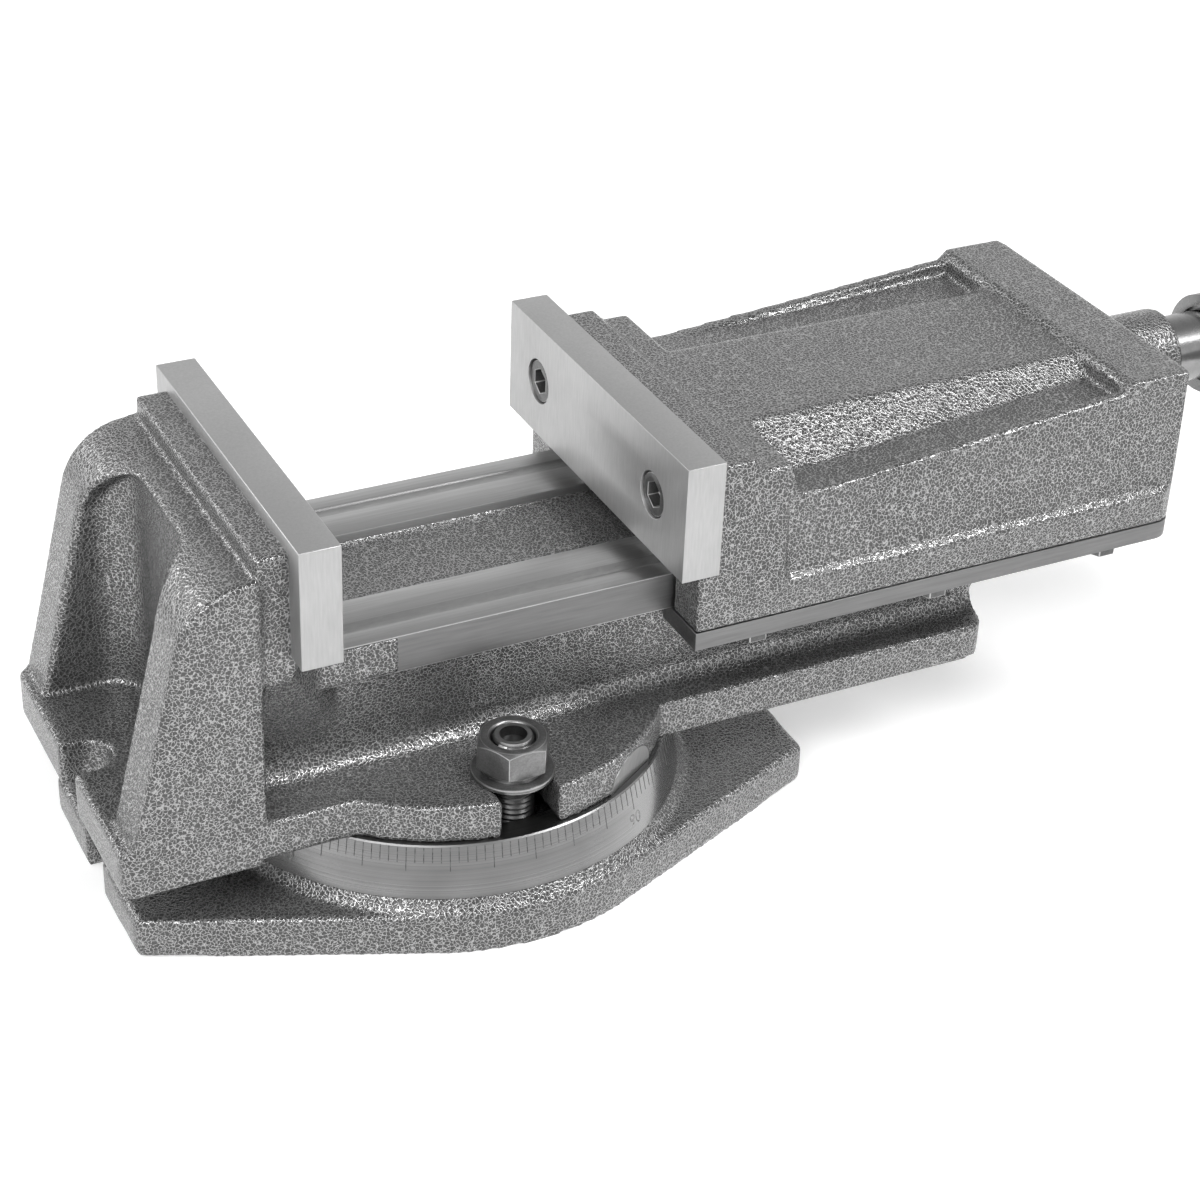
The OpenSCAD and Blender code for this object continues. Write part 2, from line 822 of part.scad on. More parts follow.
module movable_jaw_plate() {
  color(ground) translate([mov_x, 0, 0]) jaw_plate();
}

module movable_jaw_screws() {
  color(blacked) translate([mov_x, 0, 0]) jaw_screws();
}

// Places of the keeper screws at the keepers' undersides
module keeper_screw_places(sides = [-1, 1]) {
  pitch = (slide_len - 2 * keeper_end) / (keeper_count - 1);
  for (side = sides) {
    for (i = [0 : keeper_count - 1]) {
      translate([foot_x + keeper_end + i * pitch, side * keeper_screw_y, keeper_z]) children();
    }
  }
}

// A keeper plate on the side that side names, its lip under the way
module keeper(side) {
  difference() {
    translate([0, 0, keeper_z]) linear_extrude(keeper_t) mirror([0, side < 0 ? 1 : 0]) difference() {
      translate([foot_x, keeper_in]) square([slide_len, foot_half - keeper_in]);
      difference() {
        translate([rear_x - slide_corner, foot_half - slide_corner]) square(2 * slide_corner);
        translate([rear_x - slide_corner, foot_half - slide_corner]) circle(slide_corner);
      }
    }
    keeper_screw_places([side]) {
      translate([0, 0, -cut]) cylinder(h = keeper_t + 2 * cut, d = keeper_screw_d + 2 * fit);
    }
  }
}

module front_keeper() {
  color(blacked) keeper(-1);
}

module back_keeper() {
  color(blacked) keeper(1);
}

module keeper_screws() {
  color(blacked) keeper_screw_places() {
    cylinder(h = keeper_t + keeper_screw_in, d = keeper_screw_d);
    translate([0, 0, -keeper_head_h]) cylinder(h = keeper_head_h, d = keeper_head_af / cos(30), $fn = 6);
  }
}

module screw_bush() {
  color(bronze) difference() {
    rod_x(hollow_x1, boss_x, bush_d);
    rod_x(hollow_x1 - cut, boss_x + cut, screw_d + 2 * fit);
  }
}

module thrust_pad() {
  color(polished) rod_x(pad_x - pad_t, pad_x, pad_d);
}

module leadscrew() {
  color(polished) difference() {
    union() {
      rod_x(tip_x, tip_x + tip_len + cut, tip_d);
      rod_x(tip_x + tip_len, hub_x + hub_recess_h, screw_d);
      // Shoulder that takes the pull of the opening jaw on the bush
      rod_x(boss_x + collar_gap, hub_x + hub_recess_h, shoulder_d);
      translate([hub_x, -square_af / 2, screw_z - square_af / 2]) {
        cube([hub_len, square_af, square_af]);
      }
    }
    translate([collar_x + collar_t / 2, 0, screw_z]) rotate([90, 0, 0]) {
      cylinder(h = 2 * screw_d, d = pin_d + 2 * fit, center = true);
    }
  }
}

module retaining_collar() {
  color(blacked) difference() {
    rod_x(collar_x, collar_x + collar_t, collar_d);
    rod_x(collar_x - cut, collar_x + collar_t + cut, screw_d + 2 * fit);
    translate([collar_x + collar_t / 2, 0, screw_z]) rotate([90, 0, 0]) {
      cylinder(h = 2 * collar_d, d = pin_d + 2 * fit, center = true);
    }
  }
}

module collar_pin() {
  color(polished) translate([collar_x + collar_t / 2, 0, screw_z]) rotate([90, 0, 0]) {
    cylinder(h = collar_d, d = pin_d, center = true);
  }
}

module crank() {
  color(blacked) difference() {
    union() {
      rod_x(hub_x, hub_end_x, hub_d);
      // Flat arm that narrows to the spindle's eye, level towards the front at rest
      translate([arm_x, 0, screw_z]) rotate([90, 0, 90]) linear_extrude(arm_t) {
        polygon([[0, arm_w / 2], [-crank_len, arm_end_w / 2], [-crank_len, -arm_end_w / 2], [0, -arm_w / 2]]);
        translate([-crank_len, 0]) circle(d = arm_end_w);
      }
    }
    rod_x(hub_x - cut, hub_x + hub_recess_h, hub_recess_d);
    translate([hub_x - cut, -square_af / 2 - fit, screw_z - square_af / 2 - fit]) {
      cube([hub_len + 2 * cut, square_af + 2 * fit, square_af + 2 * fit]);
    }
    translate([arm_x - cut, -crank_len, screw_z]) rotate([0, 90, 0]) {
      cylinder(h = arm_t + 2 * cut, d = spindle_d + 2 * fit);
    }
    setscrew_place() cylinder(h = hub_d, d = setscrew_d + 2 * fit);
  }
}

// The set screw stands on the flat top of the screw's square end
module setscrew_place() {
  translate([hub_x + (hub_len - arm_t + hub_recess_h) / 2, 0, screw_z + square_af / 2 + fit]) children();
}

module crank_setscrew() {
  color(blacked) setscrew_place() difference() {
    cylinder(h = setscrew_len, d = setscrew_d);
    translate([0, 0, setscrew_len - setscrew_socket]) {
      cylinder(h = setscrew_socket + cut, d = setscrew_socket / cos(30), $fn = 6);
    }
  }
}

module spindle_rod(x0, x1, d) {
  translate([x0, -crank_len, screw_z]) rotate([0, 90, 0]) cylinder(h = x1 - x0, d = d);
}

module grip_spindle() {
  grip_x1 = hub_end_x + grip_gap + grip_len;
  color(polished) {
    spindle_rod(arm_x, grip_x1 + grip_gap + grip_washer_t, spindle_d);
    spindle_rod(grip_x1 + grip_gap + grip_washer_t, grip_x1 + grip_gap + grip_washer_t + spindle_head_h, spindle_head_d);
  }
}

module grip_washer() {
  x0 = hub_end_x + grip_gap + grip_len + grip_gap;
  color(polished) difference() {
    spindle_rod(x0, x0 + grip_washer_t, grip_washer_d);
    spindle_rod(x0 - cut, x0 + grip_washer_t + cut, spindle_d + 2 * fit);
  }
}

// Turned grip: a neck by the arm, a swelling and a smaller outer end
module crank_grip() {
  x0 = hub_end_x + grip_gap;
  color(grip_black) translate([x0, -crank_len, screw_z]) rotate([0, 90, 0]) difference() {
    union() {
      cylinder(h = grip_len / 2, d1 = grip_neck_d, d2 = grip_d);
      translate([0, 0, grip_len / 2]) cylinder(h = grip_len / 2, d1 = grip_d, d2 = grip_end_d);
    }
    translate([0, 0, -cut]) cylinder(h = grip_len + 2 * cut, d = spindle_d + 2 * fit);
  }
}

swivel_base();
pivot_pin();
vise_body();
fixed_jaw_plate();
fixed_jaw_screws();
swivel_bolts();
swivel_washers();
swivel_nuts();
leadscrew_nut();
leadscrew_nut_screws();
movable_jaw();
movable_jaw_plate();
movable_jaw_screws();
front_keeper();
back_keeper();
keeper_screws();
screw_bush();
thrust_pad();
leadscrew();
retaining_collar();
collar_pin();
crank();
crank_setscrew();
grip_spindle();
crank_grip();
grip_washer();
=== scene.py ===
import bmesh
import bpy
import math
import numpy as np
from mathutils import Matrix, Vector


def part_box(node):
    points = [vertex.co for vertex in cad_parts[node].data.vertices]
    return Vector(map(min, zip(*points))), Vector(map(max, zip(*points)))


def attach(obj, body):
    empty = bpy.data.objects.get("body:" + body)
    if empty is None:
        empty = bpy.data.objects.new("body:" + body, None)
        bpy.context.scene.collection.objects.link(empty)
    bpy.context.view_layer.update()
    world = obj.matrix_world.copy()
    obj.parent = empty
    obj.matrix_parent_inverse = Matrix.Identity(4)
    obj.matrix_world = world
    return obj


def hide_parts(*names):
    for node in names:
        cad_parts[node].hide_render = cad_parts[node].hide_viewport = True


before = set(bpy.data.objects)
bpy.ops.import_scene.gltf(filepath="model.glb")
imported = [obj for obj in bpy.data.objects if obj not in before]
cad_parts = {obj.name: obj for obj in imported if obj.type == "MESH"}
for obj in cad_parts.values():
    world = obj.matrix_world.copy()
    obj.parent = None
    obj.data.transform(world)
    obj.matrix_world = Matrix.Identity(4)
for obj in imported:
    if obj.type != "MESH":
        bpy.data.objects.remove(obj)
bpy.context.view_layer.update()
scene = bpy.context.scene
mm = 0.001


# Small steps of node trees, used by the studio, the materials and the geometry trees.
def reckon(tree, operation, first, second=0.0):
    """One step of arithmetic. first and second are numbers or the outputs of other nodes."""
    node = tree.nodes.new("ShaderNodeMath")
    node.operation = operation
    for socket, value in zip(node.inputs, (first, second)):
        if isinstance(value, (int, float)):
            socket.default_value = value
        else:
            tree.links.new(value, socket)
    return node.outputs[0]


def steps(tree, value, *stops):
    """A ramp: stops are (position, grey), or (position, (red, green, blue))."""
    ramp = tree.nodes.new("ShaderNodeValToRGB")
    while len(ramp.color_ramp.elements) < len(stops):
        ramp.color_ramp.elements.new(0.5)
    for element, (position, grey) in zip(ramp.color_ramp.elements, stops):
        element.position = position
        shade = grey if isinstance(grey, tuple) else (grey, grey, grey)
        element.color = (*shade, 1)
    tree.links.new(value, ramp.inputs["Fac"])
    return ramp.outputs["Color"]


def white_for_the_eye(tree):
    """1 for the rays that the eye, a reflection or a clear piece sends out, and 0 for all others."""
    path = tree.nodes.new("ShaderNodeLightPath").outputs
    seen = reckon(tree, "MAXIMUM", path["Is Camera Ray"], path["Is Glossy Ray"])
    return reckon(tree, "MAXIMUM", seen, path["Is Transmission Ray"])


# The studio: a white floor under a ceiling that darkens upwards, one large soft box high at the front
# left, a narrow one overhead that lights the rounded edges, and a weak one from behind. The camera
# stands off the fixed jaw's end, at the front, and looks down along the vise.
scene.view_settings.view_transform = "Standard"
camera_data = bpy.data.cameras.new("camera")
camera_data.sensor_width = 36
camera_data.lens = 78.5067
camera = bpy.data.objects.new("camera", camera_data)
camera.location = (-0.35915, -0.83068, 0.66313)
camera.rotation_euler = (1.01286, -0.03509, -0.46)
scene.collection.objects.link(camera)
scene.camera = camera


def soft_box(name, place, target, width, height, power):
    """A rectangular lamp that faces target, with its sizes in metres and its power in watts."""
    data = bpy.data.lights.new(name, "AREA")
    data.shape = "RECTANGLE"
    data.size = width
    data.size_y = height
    data.energy = power
    lamp = bpy.data.objects.new(name, data)
    lamp.location = place
    lamp.rotation_euler = (Vector(target) - Vector(place)).to_track_quat("-Z", "Y").to_euler()
    scene.collection.objects.link(lamp)


vise_centre = (0.08, 0.0, 0.1)
soft_box("big_soft_box", (-1.5, -1.7, 2.3), vise_centre, width=1.9, height=1.5, power=57)
soft_box("edge_soft_box", (0.97, -0.8, 1.85), vise_centre, width=0.5, height=1.5, power=34)
soft_box("back_soft_box", (-1.6, 1.3, 1.3), vise_centre, width=1.6, height=0.8, power=18)

# The air: an even dim light on the vise, and for the eye the ceiling, white low down and grey above.
world = bpy.data.worlds.new("studio")
world.use_nodes = True
scene.world = world
air = world.node_tree
air.nodes.clear()
dim = air.nodes.new("ShaderNodeBackground")
dim.inputs["Color"].default_value = (1, 1, 1, 1)
dim.inputs["Strength"].default_value = 0.24
white = air.nodes.new("ShaderNodeBackground")
direction = air.nodes.new("ShaderNodeSeparateXYZ")
air.links.new(air.nodes.new("ShaderNodeTexCoord").outputs["Generated"], direction.inputs[0])
ceiling = steps(air, direction.outputs["Z"], (0.27, 1.0), (0.5, 0.72), (0.9, 0.3))
air.links.new(ceiling, white.inputs["Color"])
white.inputs["Strength"].default_value = 1.0
either = air.nodes.new("ShaderNodeMixShader")
air.links.new(white_for_the_eye(air), either.inputs[0])
air.links.new(dim.outputs[0], either.inputs[1])
air.links.new(white.outputs[0], either.inputs[2])
world_out = air.nodes.new("ShaderNodeOutputWorld")
air.links.new(either.outputs[0], world_out.inputs[0])

# The floor: matt white paper with a weak glow for the eye. Far from the vise it runs into plain white
# for the eye, so that no horizon shows.
reach = 9.0
glow_strength = 0.42
plain_from = 0.8
plain_to = 2.4
floor_mesh = bpy.data.meshes.new("floor")
floor_corners = [(-reach, -reach, 0), (reach, -reach, 0), (reach, reach, 0), (-reach, reach, 0)]
floor_mesh.from_pydata(floor_corners, [], [(0, 1, 2, 3)])
floor = bpy.data.objects.new("floor", floor_mesh)
scene.collection.objects.link(floor)
floor_paper = bpy.data.materials.new("white_paper")
floor_paper.use_nodes = True
paper = floor_paper.node_tree
paper.nodes.clear()
matt = paper.nodes.new("ShaderNodeBsdfDiffuse")
matt.inputs["Color"].default_value = (0.8, 0.8, 0.8, 1)
glow = paper.nodes.new("ShaderNodeEmission")
glow.inputs["Color"].default_value = (1, 1, 1, 1)
seen_glow = reckon(paper, "MULTIPLY", white_for_the_eye(paper), glow_strength)
paper.links.new(seen_glow, glow.inputs["Strength"])
both_lights = paper.nodes.new("ShaderNodeAddShader")
paper.links.new(matt.outputs[0], both_lights.inputs[0])
paper.links.new(glow.outputs[0], both_lights.inputs[1])
far_off = paper.nodes.new("ShaderNodeVectorMath")
far_off.operation = "LENGTH"
paper.links.new(paper.nodes.new("ShaderNodeTexCoord").outputs["Object"], far_off.inputs[0])
plainness = paper.nodes.new("ShaderNodeMapRange")
plainness.interpolation_type = "SMOOTHSTEP"
plainness.inputs["From Min"].default_value = plain_from
plainness.inputs["From Max"].default_value = plain_to
paper.links.new(far_off.outputs["Value"], plainness.inputs["Value"])
plain_for_the_eye = reckon(paper, "MULTIPLY", plainness.outputs[0], white_for_the_eye(paper))
blank_white = paper.nodes.new("ShaderNodeEmission")
blank_white.inputs["Color"].default_value = (1, 1, 1, 1)
near_or_far = paper.nodes.new("ShaderNodeMixShader")
paper.links.new(plain_for_the_eye, near_or_far.inputs[0])
paper.links.new(both_lights.outputs[0], near_or_far.inputs[1])
paper.links.new(blank_white.outputs[0], near_or_far.inputs[2])
paper_out = paper.nodes.new("ShaderNodeOutputMaterial")
paper.links.new(near_or_far.outputs[0], paper_out.inputs[0])
floor_mesh.materials.append(floor_paper)


# Steps that shape and place the pieces. The functions that get a place get it in millimetres.
most_triangles = 190000


def plain_mesh(name, shape):
    """Ends the work on a shape and gives its mesh."""
    mesh = bpy.data.meshes.new(name)
    shape.to_mesh(mesh)
    shape.free()
    return mesh


def joined(name, meshes):
    """One mesh from several, each at its own place."""
    shape = bmesh.new()
    for mesh in meshes:
        shape.from_mesh(mesh)
    return plain_mesh(name, shape)


def loose_copy(node):
    """A copy of a CAD node's mesh with its doubled corners joined and no material."""
    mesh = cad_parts[node].data.copy()
    shape = bmesh.new()
    shape.from_mesh(mesh)
    bmesh.ops.remove_doubles(shape, verts=shape.verts, dist=2e-6)
    shape.to_mesh(mesh)
    shape.free()
    mesh.materials.clear()
    return mesh


def settle(name, mesh, kind, **settings):
    """Runs one modifier on a mesh and gives the plain mesh that comes out."""
    carrier = bpy.data.objects.new(name + "_work", mesh)
    scene.collection.objects.link(carrier)
    modifier = carrier.modifiers.new(kind, kind)
    for key, value in settings.items():
        setattr(modifier, key, value)
    view = bpy.context.evaluated_depsgraph_get()
    result = bpy.data.meshes.new_from_object(carrier.evaluated_get(view))
    bpy.data.objects.remove(carrier)
    result.name = name
    return result


def sink(mesh, change):
    """Moves each corner of a mesh to the place that change gives for it, unless that is None. It takes
    a casting's skin below the machined faces and fitted parts that cover it."""
    for vertex in mesh.vertices:
        place = change(vertex.co.x / mm, vertex.co.y / mm, vertex.co.z / mm)
        if place is not None:
            vertex.co = Vector(place) * mm


def soften(mesh, share_at, passes):
    """Rounds the edges of a casting further, by the share that share_at gives for each place."""
    count = len(mesh.vertices)
    place = np.empty(count * 3)
    mesh.vertices.foreach_get("co", place)
    place = place.reshape(-1, 3)
    pairs = np.empty(len(mesh.edges) * 2, dtype=np.int64)
    mesh.edges.foreach_get("vertices", pairs)
    first, second = pairs.reshape(-1, 2).T
    share = share_at(*(place.T / mm))[:, None] * 0.5
    degree = np.bincount(pairs, minlength=count)[:, None]
    for _ in range(passes):
        around = np.stack([
            np.bincount(first, weights=place[second, axis], minlength=count)
            + np.bincount(second, weights=place[first, axis], minlength=count)
            for axis in range(3)
        ], axis=1)
        place += (around / degree - place) * share
    mesh.vertices.foreach_set("co", place.ravel())
    mesh.update()


def fade(value, start, over):
    """0 up to start, and from there it rises to 1."""
    return np.clip((value - start) / over, 0, 1)


def casting(node, name, grain, passes, fitted=None, softer=()):
    """A sand casting: the CAD shape with its edges rounded by a fine remesh that is smoothed. fitted
    moves the seats of fitted parts into those parts, so that the casting meets them without a gap.
    softer lists pairs of a share for each place and the number of further passes there."""
    blank = loose_copy(node)
    if fitted:
        sink(blank, fitted)
    mesh = settle(name, blank, "REMESH", mode="VOXEL", voxel_size=grain, adaptivity=0.0)
    soften(mesh, lambda x, y, z: np.ones_like(x), passes)
    for share_at, more_passes in softer:
        soften(mesh, share_at, more_passes)
    ratio = min(1.0, most_triangles / (2 * len(mesh.polygons)))
    return settle(name, mesh, "DECIMATE", decimate_type="COLLAPSE", ratio=ratio)


def finish_piece(name, mesh, body, materials, stands_for=(), smooth=None):
    """Puts a mesh on its body, in place of the CAD nodes that it stands for. smooth is "all", or the
    angle in degrees from which an edge stays sharp."""
    shares = np.zeros(len(mesh.polygons), dtype=np.int32)
    mesh.polygons.foreach_get("material_index", shares)
    mesh.materials.clear()
    for material in materials:
        mesh.materials.append(material)
    mesh.polygons.foreach_set("material_index", np.minimum(shares, len(materials) - 1))
    if smooth == "all":
        mesh.shade_smooth()
    elif smooth is not None:
        mesh.shade_smooth()
        mesh.set_sharp_from_angle(angle=math.radians(smooth))
    piece = bpy.data.objects.new(name, mesh)
    scene.collection.objects.link(piece)
    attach(piece, body)
    if stands_for:
        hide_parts(*stands_for)


def start_material(name):
    """A new material: itself, its tree, its shader and the place on the piece, in metres."""
    material = bpy.data.materials.new(name)
    material.use_nodes = True
    tree = material.node_tree
    tree.nodes.clear()
    out = tree.nodes.new("ShaderNodeOutputMaterial")
    shader = tree.nodes.new("ShaderNodeBsdfPrincipled")
    tree.links.new(shader.outputs[0], out.inputs[0])
    place = tree.nodes.new("ShaderNodeTexCoord").outputs["Object"]
    return material, tree, shader, place


def grain_of(tree, place, scale, detail=2.0, rough=0.5, bend=0.0):
    """Noise with its own scale along each axis, in waves per metre."""
    stretch = tree.nodes.new("ShaderNodeMapping")
    stretch.inputs["Scale"].default_value = scale
    tree.links.new(place, stretch.inputs["Vector"])
    noise = tree.nodes.new("ShaderNodeTexNoise")
    noise.inputs["Scale"].default_value = 1.0
    noise.inputs["Detail"].default_value = detail
    noise.inputs["Roughness"].default_value = rough
    noise.inputs["Distortion"].default_value = bend
    tree.links.new(stretch.outputs[0], noise.inputs["Vector"])
    return noise.outputs["Fac"]


def blend_colours(tree, share, first, second):
    """Goes from the first colour to the second as share goes from 0 to 1."""
    node = tree.nodes.new("ShaderNodeMix")
    node.data_type = "RGBA"
    share_in, first_in, second_in = 0, 6, 7
    for socket, value in ((share_in, share), (first_in, first), (second_in, second)):
        tree.links.new(value, node.inputs[socket])
    return node.outputs[2]


def relief(tree, shader, height, depth, strength):
    """Fine bumps in the surface, depth in metres."""
    bump = tree.nodes.new("ShaderNodeBump")
    bump.inputs["Strength"].default_value = strength
    bump.inputs["Distance"].default_value = depth
    tree.links.new(height, bump.inputs["Height"])
    tree.links.new(bump.outputs[0], shader.inputs["Normal"])


def hammered_paint(name, milled_z):
    """Grey hammered paint: a light aluminium net round small dark hollows. At milled_z, on faces that
    look down, the bare milled iron shows."""
    material, tree, shader, place = start_material(name)
    broad = grain_of(tree, place, (26, 26, 26), detail=2.0)
    sway = tree.nodes.new("ShaderNodeTexNoise")
    sway.inputs["Scale"].default_value = 420
    sway.inputs["Detail"].default_value = 1.0
    tree.links.new(place, sway.inputs["Vector"])
    shift = tree.nodes.new("ShaderNodeVectorMath")
    shift.operation = "MULTIPLY_ADD"
    shift.inputs[1].default_value = (1.6 * mm, 1.6 * mm, 1.6 * mm)
    tree.links.new(sway.outputs["Color"], shift.inputs[0])
    tree.links.new(place, shift.inputs[2])
    hollows = tree.nodes.new("ShaderNodeTexVoronoi")
    hollows.feature = "DISTANCE_TO_EDGE"
    hollows.inputs["Scale"].default_value = 640
    tree.links.new(shift.outputs[0], hollows.inputs["Vector"])
    flakes = grain_of(tree, place, (1500, 1500, 1500), detail=2.0)
    uneven = reckon(tree, "MULTIPLY", reckon(tree, "SUBTRACT", flakes, 0.5), 0.34)
    height = reckon(tree, "ADD", hollows.outputs["Distance"], uneven)
    net = steps(tree, height, (0.04, 1.0), (0.1, 0.0))
    light = steps(tree, flakes, (0.3, 0.32), (0.7, 0.46))
    dark = steps(tree, broad, (0.3, 0.05), (0.7, 0.07))
    paint = blend_colours(tree, net, dark, light)
    parts = tree.nodes.new("ShaderNodeSeparateXYZ")
    tree.links.new(place, parts.inputs[0])
    facing = tree.nodes.new("ShaderNodeSeparateXYZ")
    tree.links.new(tree.nodes.new("ShaderNodeNewGeometry").outputs["Normal"], facing.inputs[0])
    above_milled = reckon(tree, "ABSOLUTE", reckon(tree, "SUBTRACT", parts.outputs["Z"], milled_z))
    near = reckon(tree, "LESS_THAN", above_milled, 0.3 * mm)
    looks_down = reckon(tree, "LESS_THAN", facing.outputs["Z"], -0.9)
    bare = reckon(tree, "MULTIPLY", near, looks_down)
    lines = grain_of(tree, place, (60, 1500, 60), detail=2.0)
    iron = steps(tree, lines, (0.3, 0.36), (0.7, 0.5))
    tree.links.new(blend_colours(tree, bare, paint, iron), shader.inputs["Base Color"])
    shine = reckon(tree, "ADD", reckon(tree, "MULTIPLY", net, 0.5), 0.25)
    tree.links.new(reckon(tree, "MAXIMUM", bare, shine), shader.inputs["Metallic"])
    tree.links.new(steps(tree, net, (0.0, 0.17), (1.0, 0.24)), shader.inputs["Roughness"])
    shader.inputs["Specular IOR Level"].default_value = 0.75
    relief(tree, shader, steps(tree, height, (0.0, 1.0), (0.3, 0.0)), 0.16 * mm, 0.8)
    return material


# Swivel base: a round iron casting with two slotted lugs, painted all over with grey hammered paint
# and machined on its underside. The corners of its lugs are rounder than its other cast edges.
rim_z = 45.5
rim_foot_z = 23.0
rim_top_r = 97.0
rim_foot_r = 102.0
neck_in_r = 66.5
neck_out_r = 85.5
mouth_floor_z = 32.0
turned_skin = 0.6


def lug_corners(x, y, z):
    """The outer corners of the lugs."""
    return fade(np.abs(x), 122, 8) * fade(np.abs(y), 28, 10)


def under_the_rim(x, y, z):
    """Sinks the casting under the turned faces, which are pieces of their own."""
    r = math.hypot(x, y)
    if z < rim_foot_z + 0.4 or r < 1:
        return None
    most = rim_foot_r - (z - rim_foot_z) * (rim_foot_r - rim_top_r) / (rim_z - rim_foot_z) - turned_skin
    wanted = min(r, most)
    if z > mouth_floor_z - 0.4 and neck_out_r - 2 < r < neck_out_r + turned_skin:
        wanted = neck_out_r + turned_skin
    if z > mouth_floor_z - 0.4 and neck_in_r - turned_skin < r < neck_in_r + 2:
        wanted = neck_in_r - turned_skin
    return (x * wanted / r, y * wanted / r, min(z, rim_z - turned_skin))


base_skin = casting("swivel_base", "base_casting", grain=1.3 * mm, passes=2, softer=[(lug_corners, 10)])
sink(base_skin, under_the_rim)
base_paint = hammered_paint("hammered_paint_base", 0.0)
finish_piece("base_casting", base_skin, "base", [base_paint], ["swivel_base"], "all")


# Turned faces of the base: the graduated rim, the flat face that the bed turns on, and the mouth of
# the round T slot between them. They are bare iron, turned in one setting, so the fine grooves go round.
def lathe(profile, count, closed=True):
    """Turns a profile of (radius, height) in mm round the Z axis. A closed profile makes a ring."""
    shape = bmesh.new()
    rings = []
    for radius, height in profile:
        if radius < 1e-6:
            rings.append([shape.verts.new((0, 0, height * mm))])
        else:
            angles = [k * math.tau / count for k in range(count)]
            rings.append([
                shape.verts.new((radius * mm * math.cos(angle), radius * mm * math.sin(angle), height * mm))
                for angle in angles
            ])
    pairs = list(zip(rings, rings[1:])) + ([(rings[-1], rings[0])] if closed else [])
    for lower, upper in pairs:
        for k in range(count):
            beside = k + 1
            near_side = [lower[k % len(lower)], lower[beside % len(lower)]]
            far_side = [upper[beside % len(upper)], upper[k % len(upper)]]
            corners = list(dict.fromkeys(near_side + far_side))
            if len(corners) > 2:
                shape.faces.new(corners)
    bmesh.ops.recalc_face_normals(shape, faces=shape.faces)
    return plain_mesh("turned", shape)


# Width along X, in metres, of the painted highlight and painted shade that turned metal may carry.
painted_light_span = 0.2


def turned_steel(name, tone, axis, shine=0.3, painted_light_stops=None):
    """Turned metal: fine rings round an axis ("X" or "Z"), with faint smudges of oil. The optional stops
    lighten and darken it softly along X, over the width set just above, in metres: painted highlight and
    painted shade that stand in for the reflections of lamps."""
    material, tree, shader, place = start_material(name)
    parts = tree.nodes.new("ShaderNodeSeparateXYZ")
    tree.links.new(place, parts.inputs[0])
    along = parts.outputs[axis]
    across = [parts.outputs[other] for other in "XYZ" if other != axis]
    squares = [reckon(tree, "POWER", side, 2) for side in across]
    radius = reckon(tree, "SQRT", reckon(tree, "ADD", *squares))
    rings = tree.nodes.new("ShaderNodeCombineXYZ")
    tree.links.new(along, rings.inputs[0])
    tree.links.new(radius, rings.inputs[1])
    fine = grain_of(tree, rings.outputs[0], (2300, 2300, 1), detail=3.0, rough=0.6)
    wide = grain_of(tree, rings.outputs[0], (260, 260, 1), detail=1.0)
    smudge = grain_of(tree, place, (34, 34, 34), detail=3.0)
    soft = reckon(tree, "ADD", reckon(tree, "MULTIPLY", wide, 0.2), reckon(tree, "MULTIPLY", smudge, 0.3))
    mixed = reckon(tree, "ADD", reckon(tree, "MULTIPLY", fine, 0.5), soft)
    # Painted light: lightens and darkens the colour along X, in place of reflections.
    if painted_light_stops:
        place_on_x = reckon(tree, "ADD", reckon(tree, "MULTIPLY", parts.outputs["X"], 1 / painted_light_span), 0.5)
        painted_light_tone = steps(tree, place_on_x, *painted_light_stops)
        mixed = reckon(tree, "ADD", mixed, reckon(tree, "SUBTRACT", painted_light_tone, 0.5))
    tree.links.new(steps(tree, mixed, (0.2, tone * 0.62), (0.8, tone * 1.62)), shader.inputs["Base Color"])
    tree.links.new(steps(tree, mixed, (0.35, shine + 0.08), (0.65, shine - 0.05)), shader.inputs["Roughness"])
    shader.inputs["Metallic"].default_value = 1.0
    relief(tree, shader, fine, 0.02 * mm, 0.35)
    return material


# Painted reflections on the rim: painted shade in its middle and a painted highlight towards its right, along
# X.
rim_painted_light = ((0.0, 0.6), (0.3, 0.4), (0.6, 0.42), (0.82, 1.0), (1.0, 0.7))
rim_metal = turned_steel("turned_iron_rim", 0.2, "Z", 0.26, rim_painted_light)
rim_inside_r = 92.0
pin_bore_r = 20.2
chamfer = 0.6
rim_mesh = lathe([
    (neck_out_r, mouth_floor_z), (rim_inside_r, mouth_floor_z),
    (rim_foot_r - 0.9, rim_foot_z + 0.2), (rim_foot_r - 0.15, rim_foot_z + 0.2),
    (rim_foot_r, rim_foot_z + chamfer), (rim_top_r + 0.12, rim_z - 0.55), (rim_top_r - 0.5, rim_z),
    (neck_out_r + chamfer, rim_z), (neck_out_r, rim_z - chamfer),
], 256)
finish_piece("graduated_rim", rim_mesh, "base", [rim_metal], (), 20)
land_mesh = lathe([
    (pin_bore_r, 42.0), (neck_in_r, mouth_floor_z), (neck_in_r, rim_z - chamfer),
    (neck_in_r - chamfer, rim_z), (pin_bore_r + chamfer, rim_z), (pin_bore_r, rim_z - chamfer),
], 192)
finish_piece("swivel_face", land_mesh, "base", [rim_metal], (), 20)


# Degree marks of the rim: lines cut into the turned iron every two degrees, each fifth one longer,
# and four small stamped numbers, a quarter turn apart. The lines are thin dark blocks on the turned face.
def stage_tree(name):
    """A new geometry tree, its input node and its output node."""
    tree = bpy.data.node_groups.new(name, "GeometryNodeTree")
    tree.interface.new_socket("Geometry", in_out="OUTPUT", socket_type="NodeSocketGeometry")
    return tree, tree.nodes.new("NodeGroupInput"), tree.nodes.new("NodeGroupOutput")


